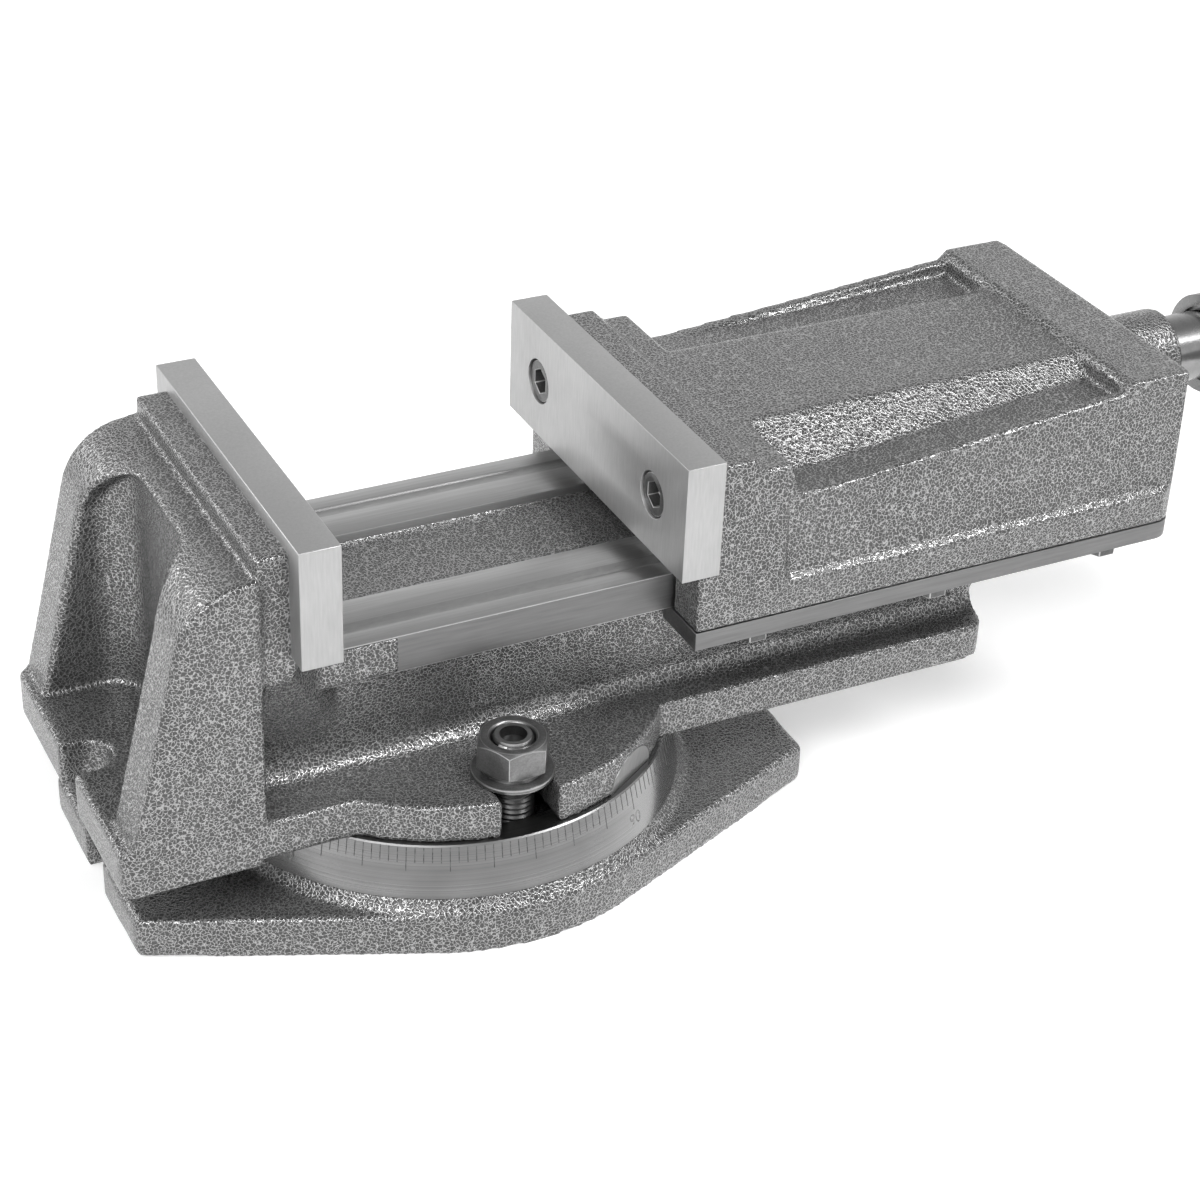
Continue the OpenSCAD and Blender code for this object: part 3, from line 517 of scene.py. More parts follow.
def tree_inputs(tree, **kinds):
    """Adds the named inputs to a geometry tree and gives their identifiers."""
    sockets = [
        tree.interface.new_socket(name, in_out="INPUT", socket_type="NodeSocket" + kind)
        for name, kind in kinds.items()
    ]
    return [socket.identifier for socket in sockets]


def grow(tree, name, settings):
    """Runs a geometry tree with its inputs set, and gives the plain mesh that comes out."""
    carrier = bpy.data.objects.new(name + "_work", bpy.data.meshes.new(name))
    scene.collection.objects.link(carrier)
    maker = carrier.modifiers.new("maker", "NODES")
    maker.node_group = tree
    for identifier, value in settings.items():
        maker[identifier] = value
    view = bpy.context.evaluated_depsgraph_get()
    result = bpy.data.meshes.new_from_object(carrier.evaluated_get(view))
    bpy.data.objects.remove(carrier)
    result.name = name
    return result


def cut_line_metal(name, tone):
    """The dull ground of a cut or stamped line."""
    material, tree, shader, place = start_material(name)
    dirt = grain_of(tree, place, (900, 900, 900), detail=2.0)
    tree.links.new(steps(tree, dirt, (0.35, tone * 0.6), (0.7, tone * 1.5)), shader.inputs["Base Color"])
    tree.links.new(steps(tree, dirt, (0.35, 0.65), (0.7, 0.45)), shader.inputs["Roughness"])
    shader.inputs["Metallic"].default_value = 0.5
    relief(tree, shader, dirt, 0.03 * mm, 0.4)
    return material


line_metal = cut_line_metal("cut_line_metal", 0.1)
marks_tree, marks_in, marks_out = stage_tree("degree_marks")
mark_count, mark_radius, mark_tilt, mark_short, mark_long, mark_height = tree_inputs(
    marks_tree, Count="Int", Radius="Float", Tilt="Float", Short="Float", Long="Float", Height="Float",
)
# The tree hangs a thin block from each point of a ring, leans it with the rim and sets its length.
ring = marks_tree.nodes.new("GeometryNodeMeshCircle")
marks_tree.links.new(marks_in.outputs["Count"], ring.inputs["Vertices"])
marks_tree.links.new(marks_in.outputs["Radius"], ring.inputs["Radius"])
stroke = marks_tree.nodes.new("GeometryNodeMeshCube")
stroke_depth = 0.12 * mm
stroke_width = 0.36 * mm
stroke.inputs["Size"].default_value = (stroke_depth, stroke_width, 1.0)
hang = marks_tree.nodes.new("GeometryNodeTransform")
hang.inputs["Translation"].default_value = (0, 0, -0.5)
marks_tree.links.new(stroke.outputs["Mesh"], hang.inputs["Geometry"])
mark_index = marks_tree.nodes.new("GeometryNodeInputIndex")
fifth = reckon(marks_tree, "LESS_THAN", reckon(marks_tree, "MODULO", mark_index.outputs[0], 5), 0.5)
longer_by = reckon(marks_tree, "SUBTRACT", marks_in.outputs["Long"], marks_in.outputs["Short"])
extra = reckon(marks_tree, "MULTIPLY", fifth, longer_by)
reach_down = reckon(marks_tree, "ADD", marks_in.outputs["Short"], extra)
whole_turns = reckon(marks_tree, "MULTIPLY", mark_index.outputs[0], math.tau)
turn = reckon(marks_tree, "DIVIDE", whole_turns, marks_in.outputs["Count"])
size_of = marks_tree.nodes.new("ShaderNodeCombineXYZ")
size_of.inputs[0].default_value = 1
size_of.inputs[1].default_value = 1
marks_tree.links.new(reach_down, size_of.inputs[2])
lean = marks_tree.nodes.new("ShaderNodeCombineXYZ")
marks_tree.links.new(marks_in.outputs["Tilt"], lean.inputs[1])
marks_tree.links.new(turn, lean.inputs[2])
each = marks_tree.nodes.new("GeometryNodeInstanceOnPoints")
marks_tree.links.new(ring.outputs["Mesh"], each.inputs["Points"])
marks_tree.links.new(hang.outputs["Geometry"], each.inputs["Instance"])
marks_tree.links.new(lean.outputs[0], each.inputs["Rotation"])
marks_tree.links.new(size_of.outputs[0], each.inputs["Scale"])
lift_up = marks_tree.nodes.new("GeometryNodeTransform")
height_of = marks_tree.nodes.new("ShaderNodeCombineXYZ")
marks_tree.links.new(marks_in.outputs["Height"], height_of.inputs[2])
marks_tree.links.new(height_of.outputs[0], lift_up.inputs["Translation"])
real = marks_tree.nodes.new("GeometryNodeRealizeInstances")
marks_tree.links.new(each.outputs[0], lift_up.inputs["Geometry"])
marks_tree.links.new(lift_up.outputs[0], real.inputs[0])
dress = marks_tree.nodes.new("GeometryNodeSetMaterial")
dress.inputs["Material"].default_value = line_metal
marks_tree.links.new(real.outputs[0], dress.inputs["Geometry"])
marks_tree.links.new(dress.outputs[0], marks_out.inputs[0])
rim_tilt = -math.atan((rim_foot_r - rim_top_r) / (rim_z - rim_foot_z))
degrees_apart = 2
marks_mesh = grow(marks_tree, "degree_marks", {
    mark_count: 360 // degrees_apart, mark_radius: (rim_top_r + 0.14) * mm, mark_tilt: rim_tilt,
    mark_short: 6.6 * mm, mark_long: 10.2 * mm, mark_height: (rim_z - 0.6) * mm,
})
finish_piece("degree_marks", marks_mesh, "base", [line_metal])


def stamped_number(text, size):
    """A number as a thin raised mesh in the XY plane, centred on its foot."""
    letters = bpy.data.curves.new("number", "FONT")
    letters.body = text
    letters.size = size
    letters.align_x = "CENTER"
    letters.extrude = 0.06 * mm
    letters.resolution_u = 3
    carrier = bpy.data.objects.new("number_work", letters)
    scene.collection.objects.link(carrier)
    view = bpy.context.evaluated_depsgraph_get()
    mesh = bpy.data.meshes.new_from_object(carrier.evaluated_get(view))
    bpy.data.objects.remove(carrier)
    return mesh


number_size = 7.6
number_drop = 17.4
first_number_at = 30
number_r = rim_top_r + number_drop * math.sin(-rim_tilt) + 0.05
number_z = rim_z - number_drop * math.cos(rim_tilt)
numbers = []
for quarter in range(4):
    angle = math.radians(first_number_at + 90 * quarter)
    text_mesh = stamped_number(str((360 - 90 * quarter) % 360), number_size * mm)
    place = (
        Matrix.Rotation(angle, 4, "Z")
        @ Matrix.Translation((number_r * mm, 0, number_z * mm))
        @ Matrix.Rotation(rim_tilt, 4, "Y")
        @ Matrix.Rotation(math.pi / 2, 4, "Z")
        @ Matrix.Rotation(math.pi / 2, 4, "X")
    )
    text_mesh.transform(place)
    numbers.append(text_mesh)
number_metal = cut_line_metal("stamped_number_metal", 0.28)
finish_piece("degree_numbers", joined("degree_numbers", numbers), "base", [number_metal])


# Pivot pin: a thick turned steel pin, pressed into the base, that the bed turns on. It is out of sight
# under the bed, so the CAD piece itself is shown, with a material.
def dress_node(node, material):
    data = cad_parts[node].data
    data.materials.clear()
    data.materials.append(material)


dress_node("pivot_pin", turned_steel("turned_steel_pin", 0.5, "Z", 0.28))


# Bed: one iron casting with the flange, the waist and the fixed jaw. It has the same hammered paint
# as the base. Its underside, the two ways and the facet beside the scale are machined.
fixed_seat_x = -87.5
fixed_seat_sink = 6
plate_foot_z = 133
way_top = 122.5
way_under = 106.0
way_in = 23.5
way_out = 55.5
way_start = -74.0
way_end = 234.0
way_sink = 0.5
way_top_sink = 1.6
cheek_end = -40.0
keeper_start = -62.5
keeper_under = 98.0
waist_out = 48.8
flange_r = 95.0
facet_turn = math.radians(-57)
facet_half = 15.0
facet_tall = 13.5
facet_sink = 0.4
facet_out = math.sqrt(flange_r ** 2 - facet_half ** 2)
facet_lean = math.atan((flange_r - facet_out) / facet_tall)


def under_the_fixed_plate(x, y, z):
    """Sinks the seat of the fixed jaw's plate."""
    return (x + fixed_seat_sink, y, z) if abs(x - fixed_seat_x) < 0.05 and z > plate_foot_z else None


def rib_edges(x, y, z):
    """The ribs on the back of the fixed jaw."""
    return fade(-x, 101, 6) * fade(z, 70, 20)


def root_blend(x, y, z):
    """The soft run of the fixed jaw's foot into the waist, on both sides."""
    along = fade(x, -90, 5) * fade(-x, 22, 20)
    return along * fade(np.abs(y), 34, 4) * fade(z, 64, 6) * fade(-z, -96, 4)


def under_the_ways(x, y, z):
    """Keeps the casting clear of the keepers' path, and sinks it under the ways and the facet, which
    are pieces of their own."""
    side = math.copysign(1, y)
    across = abs(y)
    if x > keeper_start and keeper_under - 0.5 < z < way_under + 0.3 and waist_out < across < waist_out + 1.7:
        return (x, side * (waist_out - 0.1), way_under + 0.4 if z > way_under - 1 else z)
    if way_start - way_sink < x and way_under - 1 < z < way_top + 1 and way_in - 1 < across < way_out + 0.6:
        if x < cheek_end + 0.5 and across > way_out - 0.6:
            return None
        keep_in = min(max(across, way_in + way_sink), way_out - way_sink)
        low = max(z, way_under + way_sink) if across > waist_out + 0.7 else z
        return (min(x, way_end - way_sink), side * keep_in, min(low, way_top - way_top_sink))
    outward = x * math.cos(facet_turn) + y * math.sin(facet_turn)
    aside = -x * math.sin(facet_turn) + y * math.cos(facet_turn)
    skin = facet_out + (z - rim_z) * math.tan(facet_lean) - facet_sink
    share = math.hypot(aside / facet_half, (z - rim_z) / facet_tall)
    if outward > skin and share < 0.97 and z > rim_z - 0.5:
        back = outward - skin
        return (x - back * math.cos(facet_turn), y - back * math.sin(facet_turn), z)
    return None


bed_skin = casting(
    "vise_body", "bed_casting", grain=1.3 * mm, passes=2, fitted=under_the_fixed_plate,
    softer=[(rib_edges, 4), (root_blend, 90)],
)
sink(bed_skin, under_the_ways)
bed_paint = hammered_paint("hammered_paint_bed", rim_z * mm)
finish_piece("bed_casting", bed_skin, "bed", [bed_paint], ["vise_body"], "all")


# Ways: the two flat slides that carry the movable jaw, milled and ground on the casting, bare iron
# with grinding lines along the bed and a shallow milled groove for chips and oil.
def ground_steel(name, tone, lines, shine=0.3, bend=0.0, smudges=0.35):
    """Ground metal. lines is the noise scale along each axis: low along the grinding direction."""
    material, tree, shader, place = start_material(name)
    fine = grain_of(tree, place, lines, detail=3.0, rough=0.6, bend=bend)
    smudge = grain_of(tree, place, (28, 28, 28), detail=4.0, rough=0.55)
    soft = grain_of(tree, place, (9, 9, 9), detail=1.0)
    fine_part = reckon(tree, "MULTIPLY", fine, 1 - smudges)
    soft_part = reckon(tree, "MULTIPLY", reckon(tree, "ADD", smudge, soft), smudges / 2)
    mixed = reckon(tree, "ADD", fine_part, soft_part)
    tree.links.new(steps(tree, mixed, (0.33, tone * 0.88), (0.66, tone * 1.09)), shader.inputs["Base Color"])
    tree.links.new(steps(tree, mixed, (0.33, shine + 0.08), (0.66, shine - 0.03)), shader.inputs["Roughness"])
    shader.inputs["Metallic"].default_value = 1.0
    relief(tree, shader, fine, 0.02 * mm, 0.4)
    return material


def long_bar(section, start, end):
    """A bar along X from its section of (y, z) corners in mm, listed counterclockwise from +X."""
    shape = bmesh.new()
    ends = [[shape.verts.new((x * mm, y * mm, z * mm)) for y, z in section] for x in (start, end)]
    count = len(section)
    for k in range(count):
        shape.faces.new([ends[0][k], ends[0][(k + 1) % count], ends[1][(k + 1) % count], ends[1][k]])
    shape.faces.new(ends[0])
    shape.faces.new(ends[1])
    bmesh.ops.recalc_face_normals(shape, faces=shape.faces)
    return plain_mesh("bar", shape)


def block_section(left, right, low, high):
    return [(left, low), (right, low), (right, high), (left, high)]


def broken_edges(name, mesh, width, segments=2, edge_slot=-1, limit=30):
    """Breaks the sharp edges of a machined piece, as a file or a stone does. edge_slot is the number of
    the material on the broken edges, where they have one of their own."""
    shape = bmesh.new()
    shape.from_mesh(mesh)
    bmesh.ops.dissolve_limit(shape, angle_limit=math.radians(0.6), verts=shape.verts, edges=shape.edges)
    shape.to_mesh(mesh)
    shape.free()
    while len(mesh.materials) <= edge_slot:
        mesh.materials.append(None)
    return settle(
        name, mesh, "BEVEL", width=width, segments=segments, limit_method="ANGLE",
        angle_limit=math.radians(limit), material=edge_slot, use_clamp_overlap=True, harden_normals=False,
    )


way_metal = ground_steel("ground_iron_ways", 0.47, (26, 900, 900), 0.36)
groove_metal = ground_steel("milled_iron_groove", 0.38, (160, 500, 500), 0.42, bend=0.6)
way_side_metal = ground_steel("milled_iron_way_side", 0.19, (40, 700, 700), 0.4)
groove_in = 39.6
groove_out = 46.4
groove_deep = 0.8
way_bars = []
for side in (1, -1):
    outline = [
        (way_in, way_under), (way_out, way_under), (way_out, way_top), (groove_out, way_top),
        (groove_out - 1.2, way_top - groove_deep), (groove_in + 2.4, way_top - groove_deep),
        (groove_in, way_top), (way_in, way_top),
    ]
    section = [(side * y, z) for y, z in outline]
    bar = broken_edges("way", long_bar(section, way_start, way_end), 0.5 * mm)
    for face in bar.polygons:
        middle = face.center / mm
        in_groove = groove_in < abs(middle.y) < groove_out and way_top - 1.2 < middle.z < way_top - 0.05
        if in_groove and face.normal.z > 0.1:
            face.material_index = 1
        if abs(face.normal.y) > 0.95 and abs(middle.y) > way_out - 0.1:
            face.material_index = 2
    way_bars.append(bar)
way_metals = [way_metal, groove_metal, way_side_metal]
finish_piece("ways", joined("ways", way_bars), "bed", way_metals, (), 25)

# Facet on the edge of the flange, milled flat at a slight lean, so that it ends in an arch.
facet_metal = ground_steel("milled_iron_facet", 0.36, (900, 900, 60), 0.34)
arch_steps = 24
arch_inset = 0.99
arch_lift = 0.15
facet_thick = 1.2
facet_proud = 0.06
arch = []
for k in range(arch_steps + 1):
    angle = k * math.pi / arch_steps
    aside = facet_half * arch_inset * math.cos(angle)
    arch.append((aside, facet_tall * arch_inset * math.sin(angle) + arch_lift))
facet_mesh = long_bar(arch, -facet_thick, facet_proud)
facet_mesh.transform(
    Matrix.Rotation(facet_turn, 4, "Z")
    @ Matrix.Translation((facet_out * mm, 0, rim_z * mm))
    @ Matrix.Rotation(facet_lean, 4, "Y")
)
finish_piece("index_facet", facet_mesh, "bed", [facet_metal], (), 25)


# Jaw plates: two hardened steel blocks, ground on all faces, each held by two socket head screws in
# counterbores. Their edges are broken with a stone.
plate_steel = ground_steel("ground_jaw_steel", 0.47, (1100, 1100, 90), 0.45, smudges=0.6)
for node, body in (("fixed_jaw_plate", "bed"), ("movable_jaw_plate", "moving_jaw")):
    plate_mesh = broken_edges(node + "_ground", loose_copy(node), 0.7 * mm, 3)
    finish_piece(node + "_ground", plate_mesh, body, [plate_steel], [node], 30)


# Screws of the jaw plates and the keepers, black oxide finish with bright wear at the edges where the
# keys and spanners sit.
def black_oxide(name, tone):
    """Blacked steel, blotchy from the bath and a little rubbed."""
    material, tree, shader, place = start_material(name)
    broad = grain_of(tree, place, (90, 90, 90), detail=4.0, rough=0.6)
    fine = grain_of(tree, place, (1400, 1400, 1400), detail=2.0)
    mixed = reckon(tree, "ADD", reckon(tree, "MULTIPLY", broad, 0.65), reckon(tree, "MULTIPLY", fine, 0.35))
    tree.links.new(steps(tree, mixed, (0.32, tone * 0.7), (0.68, tone * 1.35)), shader.inputs["Base Color"])
    tree.links.new(steps(tree, mixed, (0.32, 0.42), (0.68, 0.28)), shader.inputs["Roughness"])
    shader.inputs["Metallic"].default_value = 0.9
    relief(tree, shader, fine, 0.02 * mm, 0.3)
    return material


fixed_face_x = -71
moving_face_x = 69
head_sink = 0.8


def behind_the_face(x, y, z):
    """Seats the heads a little behind the faces of the jaw plates, so that they never mark the work."""
    if z < plate_foot_z - 3:
        return None
    if abs(x - fixed_face_x) < 0.1:
        return (x - head_sink, y, z)
    return (x + head_sink, y, z) if abs(x - moving_face_x) < 0.1 else None


oxide = black_oxide("black_oxide_screws", 0.12)
worn_edge = ground_steel("worn_bright_edge", 0.42, (400, 400, 400), 0.3)
screws = (("fixed_jaw_screws", "bed"), ("movable_jaw_screws", "moving_jaw"), ("keeper_screws", "moving_jaw"))
for node, body in screws:
    loose = loose_copy(node)
    sink(loose, behind_the_face)
    screw_mesh = broken_edges(node + "_black", loose, 0.35 * mm, 2, 1)
    finish_piece(node + "_black", screw_mesh, body, [oxide, worn_edge], [node], 30)


# Swivel bolts: two square headed studs whose heads slide in the round T slot. The end is hollow and
# bright where it was cut off. The thread is rolled; it shows in the notch of the flange.
bolt_y = 76.0
bolt_metal = black_oxide("black_oxide_bolts", 0.09)
helix_tree, helix_in, helix_out = stage_tree("screw_thread")
helix_radius, helix_turns, helix_rise, helix_steps, helix_ridge, helix_corner = tree_inputs(
    helix_tree, Radius="Float", Turns="Float", Rise="Float", Steps="Int", Ridge="Float", Corner="Float",
)
# The tree sweeps a small square along a helix. It makes the leadscrew's thread too.
coil = helix_tree.nodes.new("GeometryNodeCurveSpiral")
coil_inputs = (
    ("Steps", "Resolution"), ("Turns", "Rotations"), ("Radius", "Start Radius"), ("Radius", "End Radius"),
    ("Rise", "Height"),
)
for name, socket in coil_inputs:
    helix_tree.links.new(helix_in.outputs[name], coil.inputs[socket])
upright = helix_tree.nodes.new("GeometryNodeSetCurveNormal")
upright.mode = "Z_UP"
helix_tree.links.new(coil.outputs[0], upright.inputs["Curve"])
tooth = helix_tree.nodes.new("GeometryNodeCurvePrimitiveCircle")
tooth.inputs["Resolution"].default_value = 4
helix_tree.links.new(helix_in.outputs["Ridge"], tooth.inputs["Radius"])
turned_tooth = helix_tree.nodes.new("GeometryNodeTransform")
tooth_turn = helix_tree.nodes.new("ShaderNodeCombineXYZ")
helix_tree.links.new(helix_in.outputs["Corner"], tooth_turn.inputs[2])
helix_tree.links.new(tooth_turn.outputs[0], turned_tooth.inputs["Rotation"])
helix_tree.links.new(tooth.outputs[0], turned_tooth.inputs["Geometry"])
sweep = helix_tree.nodes.new("GeometryNodeCurveToMesh")
sweep.inputs["Fill Caps"].default_value = True
helix_tree.links.new(upright.outputs[0], sweep.inputs["Curve"])
helix_tree.links.new(turned_tooth.outputs[0], sweep.inputs["Profile Curve"])
helix_real = helix_tree.nodes.new("GeometryNodeRealizeInstances")
helix_dress = helix_tree.nodes.new("GeometryNodeSetMaterial")
helix_dress.inputs["Material"].default_value = bolt_metal
helix_tree.links.new(sweep.outputs[0], helix_real.inputs[0])
helix_tree.links.new(helix_real.outputs[0], helix_dress.inputs["Geometry"])
helix_tree.links.new(helix_dress.outputs[0], helix_out.inputs[0])

stud_r = 8.1
stud_top = 79.6
stud_foot = 31.0
stud_end_r = 7.4
hollow_r = 5.0
hollow_deep = 4
stud_pitch = 2.5
stud_thread_r = 8.05
stud_ridge = 0.95
thread_foot = 34
thread_long = stud_top - 2 - thread_foot
head_half = 15
head_foot = 20.5
bolt_parts = []
for side in (1, -1):
    shank = lathe([
        (0, stud_foot - 1), (stud_r, stud_foot - 1), (stud_r, stud_top - 1.6), (stud_end_r, stud_top),
        (hollow_r + 0.5, stud_top), (hollow_r, stud_top - hollow_deep), (0, stud_top - hollow_deep - 0.6),
    ], 40, closed=False)
    thread = grow(helix_tree, "stud_thread", {
        helix_radius: stud_thread_r * mm, helix_turns: thread_long / stud_pitch, helix_rise: thread_long * mm,
        helix_steps: 28, helix_ridge: stud_ridge * mm, helix_corner: 0.0,
    })
    thread.transform(Matrix.Translation((0, 0, thread_foot * mm)))
    head_section = block_section(-head_half, head_half, head_foot, stud_foot)
    head = broken_edges("stud_head", long_bar(head_section, -head_half, head_half), 1.0 * mm)
    for part in (shank, thread, head):
        part.transform(Matrix.Translation((0, side * bolt_y * mm, 0)))
        bolt_parts.append(part)
bolts_mesh = joined("swivel_bolts_threaded", bolt_parts)
for face in bolts_mesh.polygons:
    if face.center.z > (stud_top - 1.7) * mm and face.normal.z > 0.3:
        face.material_index = 1
bolt_metals = [bolt_metal, worn_edge]
finish_piece("swivel_bolts_threaded", bolts_mesh, "bed", bolt_metals, ["swivel_bolts"], 30)

# Washers and nuts of the swivel bolts, black oxide, their corners worn bright by the spanner.
# Each nut has a round seat below and a cone turned on its top, which cuts arches into its flats.
nut_metal = black_oxide("black_oxide_nuts", 0.2)
washer_metal = black_oxide("black_oxide_washers", 0.18)
washer_metals = [washer_metal, worn_edge]
washer_mesh = broken_edges("swivel_washers_black", loose_copy("swivel_washers"), 0.5 * mm, 2, 1)
finish_piece("swivel_washers_black", washer_mesh, "bed", washer_metals, ["swivel_washers"], 30)


def hexagon_nut(flats, low, high, bore, seat, turn, count=72):
    """A nut that stands on its round seat, with its flats turned by turn in degrees. Each ring of the
    mesh follows the hexagon, and rise is how far the cone cuts down at a corner."""
    shape = bmesh.new()
    half = flats / 2
    columns = []
    for k in range(count):
        angle = k * math.tau / count
        corner = half / math.cos((math.degrees(angle) - turn) % 60 * math.pi / 180 - math.pi / 6)
        rise = max(0.0, corner - half + 0.4) * math.tan(math.pi / 6)
        outline = [
            (bore, low), (half - 0.9, low), (half - 0.4, low + seat - 0.3), (corner, low + seat + rise * 0.6),
            (corner, high - rise), (half - 0.4, high), (bore + 0.8, high), (bore, high - 0.8),
        ]
        columns.append([
            (radius * mm * math.cos(angle), radius * mm * math.sin(angle), height * mm)
            for radius, height in outline
        ])
    rings = [[shape.verts.new(place) for place in ring] for ring in zip(*columns)]
    for lower, upper in zip(rings, rings[1:] + rings[:1]):
        for k in range(count):
            beside = (k + 1) % count
            shape.faces.new([lower[k], lower[beside], upper[beside], upper[k]])
    bmesh.ops.recalc_face_normals(shape, faces=shape.faces)
    return plain_mesh("nut", shape)


nut_flats = 27.0
nut_bore = 9.05
nut_seat = 2.5
nut_low, nut_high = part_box("swivel_nuts")
nut_turn = 0 if nut_high.x - nut_low.x > (nut_flats + 2) * mm else 30
nuts = []
for side in (1, -1):
    blank = hexagon_nut(nut_flats, nut_low.z / mm, nut_high.z / mm, nut_bore, nut_seat, nut_turn)
    nut = broken_edges("nut", blank, 0.25 * mm, 1, 1, 22)
    nut.transform(Matrix.Translation((0, side * bolt_y * mm, 0)))
    nuts.append(nut)
nuts_mesh = joined("swivel_nuts_black", nuts)
finish_piece("swivel_nuts_black", nuts_mesh, "bed", [nut_metal, worn_edge], ["swivel_nuts"], 25)


# Nut block of the leadscrew, screwed to the bed from below with four screws, and the bush that carries
# the screw in the jaw's boss: both machined bronze.
def bronze_metal(name):
    material, tree, shader, place = start_material(name)
    lines = grain_of(tree, place, (120, 1100, 1100), detail=3.0)
    stain = grain_of(tree, place, (40, 40, 40), detail=3.0)
    mixed = reckon(tree, "ADD", reckon(tree, "MULTIPLY", lines, 0.5), reckon(tree, "MULTIPLY", stain, 0.5))
    bronze_tones = steps(tree, mixed, (0.35, (0.44, 0.30, 0.13)), (0.65, (0.66, 0.48, 0.24)))
    tree.links.new(bronze_tones, shader.inputs["Base Color"])
    tree.links.new(steps(tree, mixed, (0.35, 0.42), (0.65, 0.28)), shader.inputs["Roughness"])
    shader.inputs["Metallic"].default_value = 1.0
    relief(tree, shader, lines, 0.02 * mm, 0.4)
    return material


bronze = bronze_metal("machined_bronze")
for node, body in (("leadscrew_nut", "bed"), ("screw_bush", "moving_jaw")):
    part_mesh = broken_edges(node + "_bronze", loose_copy(node), 0.5 * mm)
    finish_piece(node + "_bronze", part_mesh, body, [bronze], [node], 30)
dress_node("leadscrew_nut_screws", oxide)


# Movable jaw: a long iron casting with a flat crown, sunk side strips, a bulkhead and a boss at the
# rear for the screw. Same hammered paint; its slides and the face behind the plate are milled.
moving_seat_x = 85.5
moving_seat_sink = 5
ledge_z = 122
ledge_start_x = 116
ledge_in = 60
ledge_flare = 1.03


def under_the_moving_plate(x, y, z):
    """Sinks the seat of the plate, and draws the ledge along the sides out to a slight lip."""
    if abs(x - moving_seat_x) < 0.05 and z > plate_foot_z:
        return (x - moving_seat_sink, y, z)
    on_ledge = abs(z - ledge_z) < 0.1 and x > ledge_start_x and abs(y) > ledge_in
    return (x, y * ledge_flare, z) if on_ledge else None


jaw_skin = casting("movable_jaw", "jaw_casting", grain=1.2 * mm, passes=2, fitted=under_the_moving_plate)
jaw_paint = hammered_paint("hammered_paint_jaw", way_under * mm)
finish_piece("jaw_casting", jaw_skin, "moving_jaw", [jaw_paint], ["movable_jaw"], "all")


# Keepers: two ground steel strips under the jaw's legs that hold it down on the ways, dark from
# hardening, three hexagon screws each.
keeper_steel = ground_steel("dark_keeper_steel", 0.2, (40, 800, 800), 0.4)
for node in ("front_keeper", "back_keeper"):
    keeper_mesh = broken_edges(node + "_ground", loose_copy(node), 0.5 * mm, 2)
    finish_piece(node + "_ground", keeper_mesh, "moving_jaw", [keeper_steel], [node], 30)

# Thrust pad, collar and pin that hold the screw in the jaw: turned steel, the collar blacked.
dress_node("thrust_pad", turned_steel("turned_steel_pad", 0.5, "X"))
dress_node("retaining_collar", black_oxide("black_oxide_collar", 0.13))
dress_node("collar_pin", turned_steel("turned_steel_small_pin", 0.5, "Z"))


# Leadscrew: a thick square threaded steel spindle, dark polished where it leaves the boss, with a
# shoulder against the boss and a square end for the crank.
screw_z = 142.0
tip_x = 100.1
root_r = 11.2
thread_mid_r = 12.5
thread_ridge = 2.1
thread_end_x = 280.0
shaft_r = 14.0
boss_face_x = 352.2
shoulder_r = 15.5
shoulder_end_x = 380.0
thread_start_x = 106
lead = 6.0
thread_turns = 28.0
square_half = 9.5
square_end_x = 404.5
screw_steel = turned_steel("dark_polished_spindle", 0.25, "X", 0.22)
spindle = lathe([
    (0, tip_x), (root_r - 0.7, tip_x), (root_r, tip_x + 0.9), (root_r, thread_end_x),
    (shaft_r, thread_end_x + 0.6), (shaft_r, boss_face_x), (shoulder_r, boss_face_x),
    (shoulder_r, shoulder_end_x - 0.6), (shoulder_r - 0.6, shoulder_end_x), (0, shoulder_end_x),
], 64, closed=False)
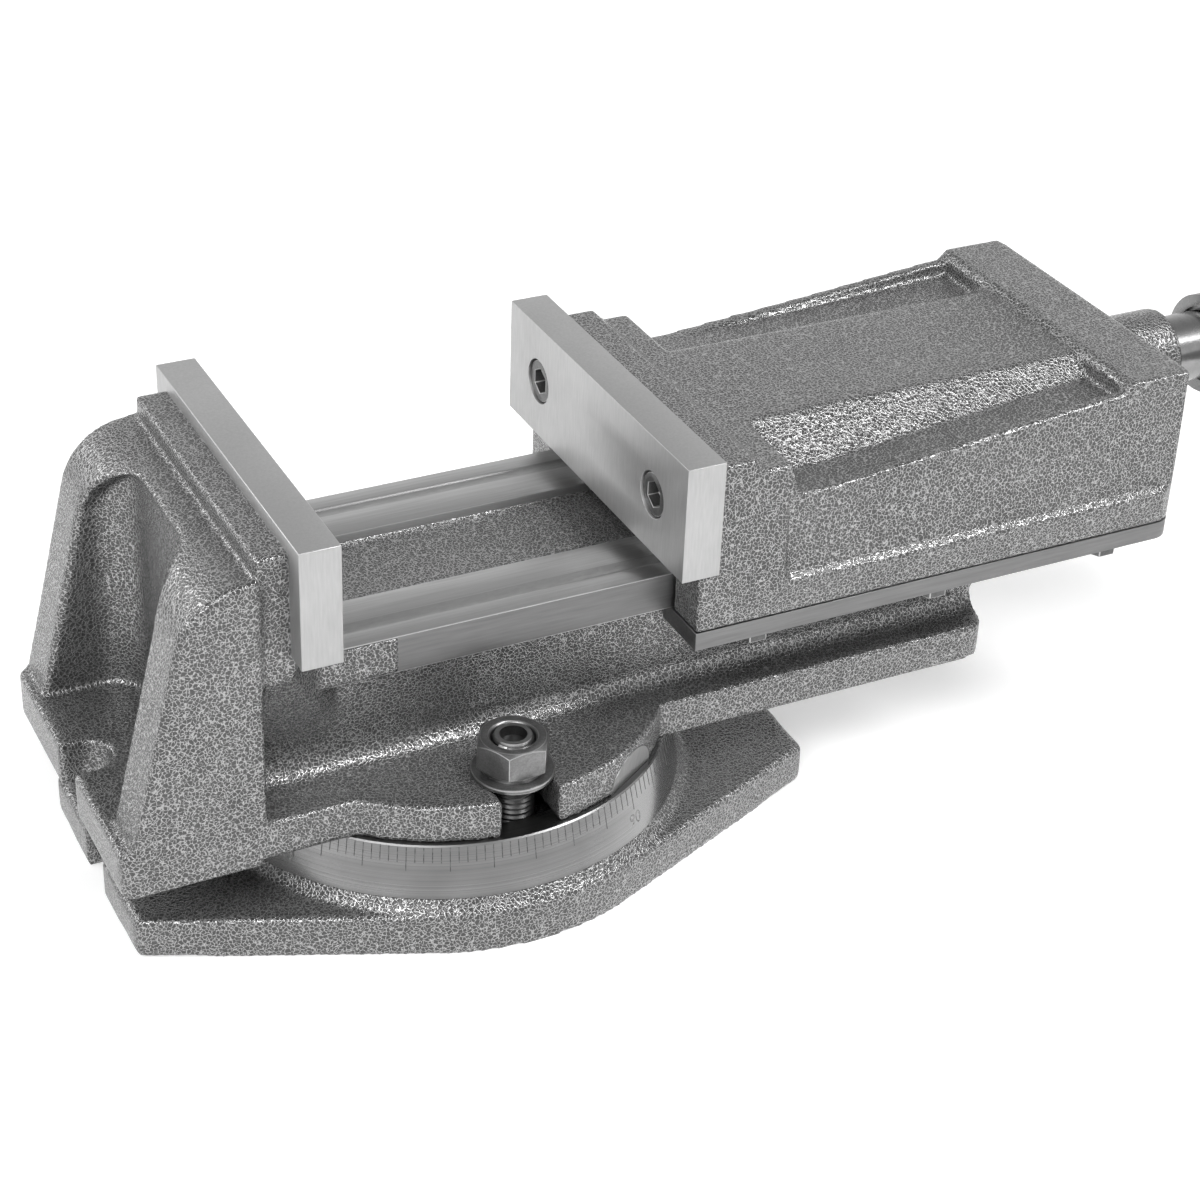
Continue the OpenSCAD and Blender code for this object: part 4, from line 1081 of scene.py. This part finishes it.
square_thread = grow(helix_tree, "square_thread", {
    helix_radius: thread_mid_r * mm, helix_turns: thread_turns, helix_rise: thread_turns * lead * mm,
    helix_steps: 32, helix_ridge: thread_ridge * mm, helix_corner: math.pi / 4,
})
square_thread.transform(Matrix.Translation((0, 0, thread_start_x * mm)))
raise_to_axis = Matrix.Translation((0, 0, screw_z * mm))
for part in (spindle, square_thread):
    part.transform(raise_to_axis @ Matrix.Rotation(math.pi / 2, 4, "Y"))
square = block_section(-square_half, square_half, -square_half, square_half)
square_end = broken_edges("square_end", long_bar(square, shoulder_end_x - 4, square_end_x), 0.8 * mm)
square_end.transform(raise_to_axis)
screw_mesh = joined("threaded_spindle", [spindle, square_thread, square_end])
finish_piece("threaded_spindle", screw_mesh, "screw", [screw_steel], ["leadscrew"], 30)


# Crank: a drop forged arm with a round hub on the square end, dark polished, with a set screw. The
# spindle and the washer that hold the grip on it are turned steel.
crank_steel = ground_steel("dark_forged_crank", 0.24, (300, 300, 300), 0.26, smudges=0.6)
crank_mesh = broken_edges("forged_crank", loose_copy("crank"), 1.2 * mm, 3)
finish_piece("forged_crank", crank_mesh, "screw", [crank_steel], ["crank"], 30)
dress_node("crank_setscrew", black_oxide("black_oxide_setscrew", 0.12))
dress_node("grip_spindle", turned_steel("turned_steel_spindle", 0.5, "X"))
dress_node("grip_washer", turned_steel("turned_steel_washer", 0.5, "X"))


# Grip: a turning handle of black moulded plastic with a satin skin, a little uneven from the hand.
def moulded_plastic(name):
    material, tree, shader, place = start_material(name)
    skin = grain_of(tree, place, (1500, 1500, 1500), detail=2.0)
    wear = grain_of(tree, place, (60, 60, 60), detail=3.0)
    tree.links.new(steps(tree, wear, (0.35, 0.022), (0.7, 0.04)), shader.inputs["Base Color"])
    tree.links.new(steps(tree, wear, (0.35, 0.38), (0.7, 0.5)), shader.inputs["Roughness"])
    relief(tree, shader, skin, 0.04 * mm, 0.35)
    return material


grip_plastic = moulded_plastic("black_moulded_grip")
grip_mesh = broken_edges("moulded_grip", loose_copy("crank_grip"), 0.8 * mm, 3)
finish_piece("moulded_grip", grip_mesh, "grip", [grip_plastic], ["crank_grip"], 40)
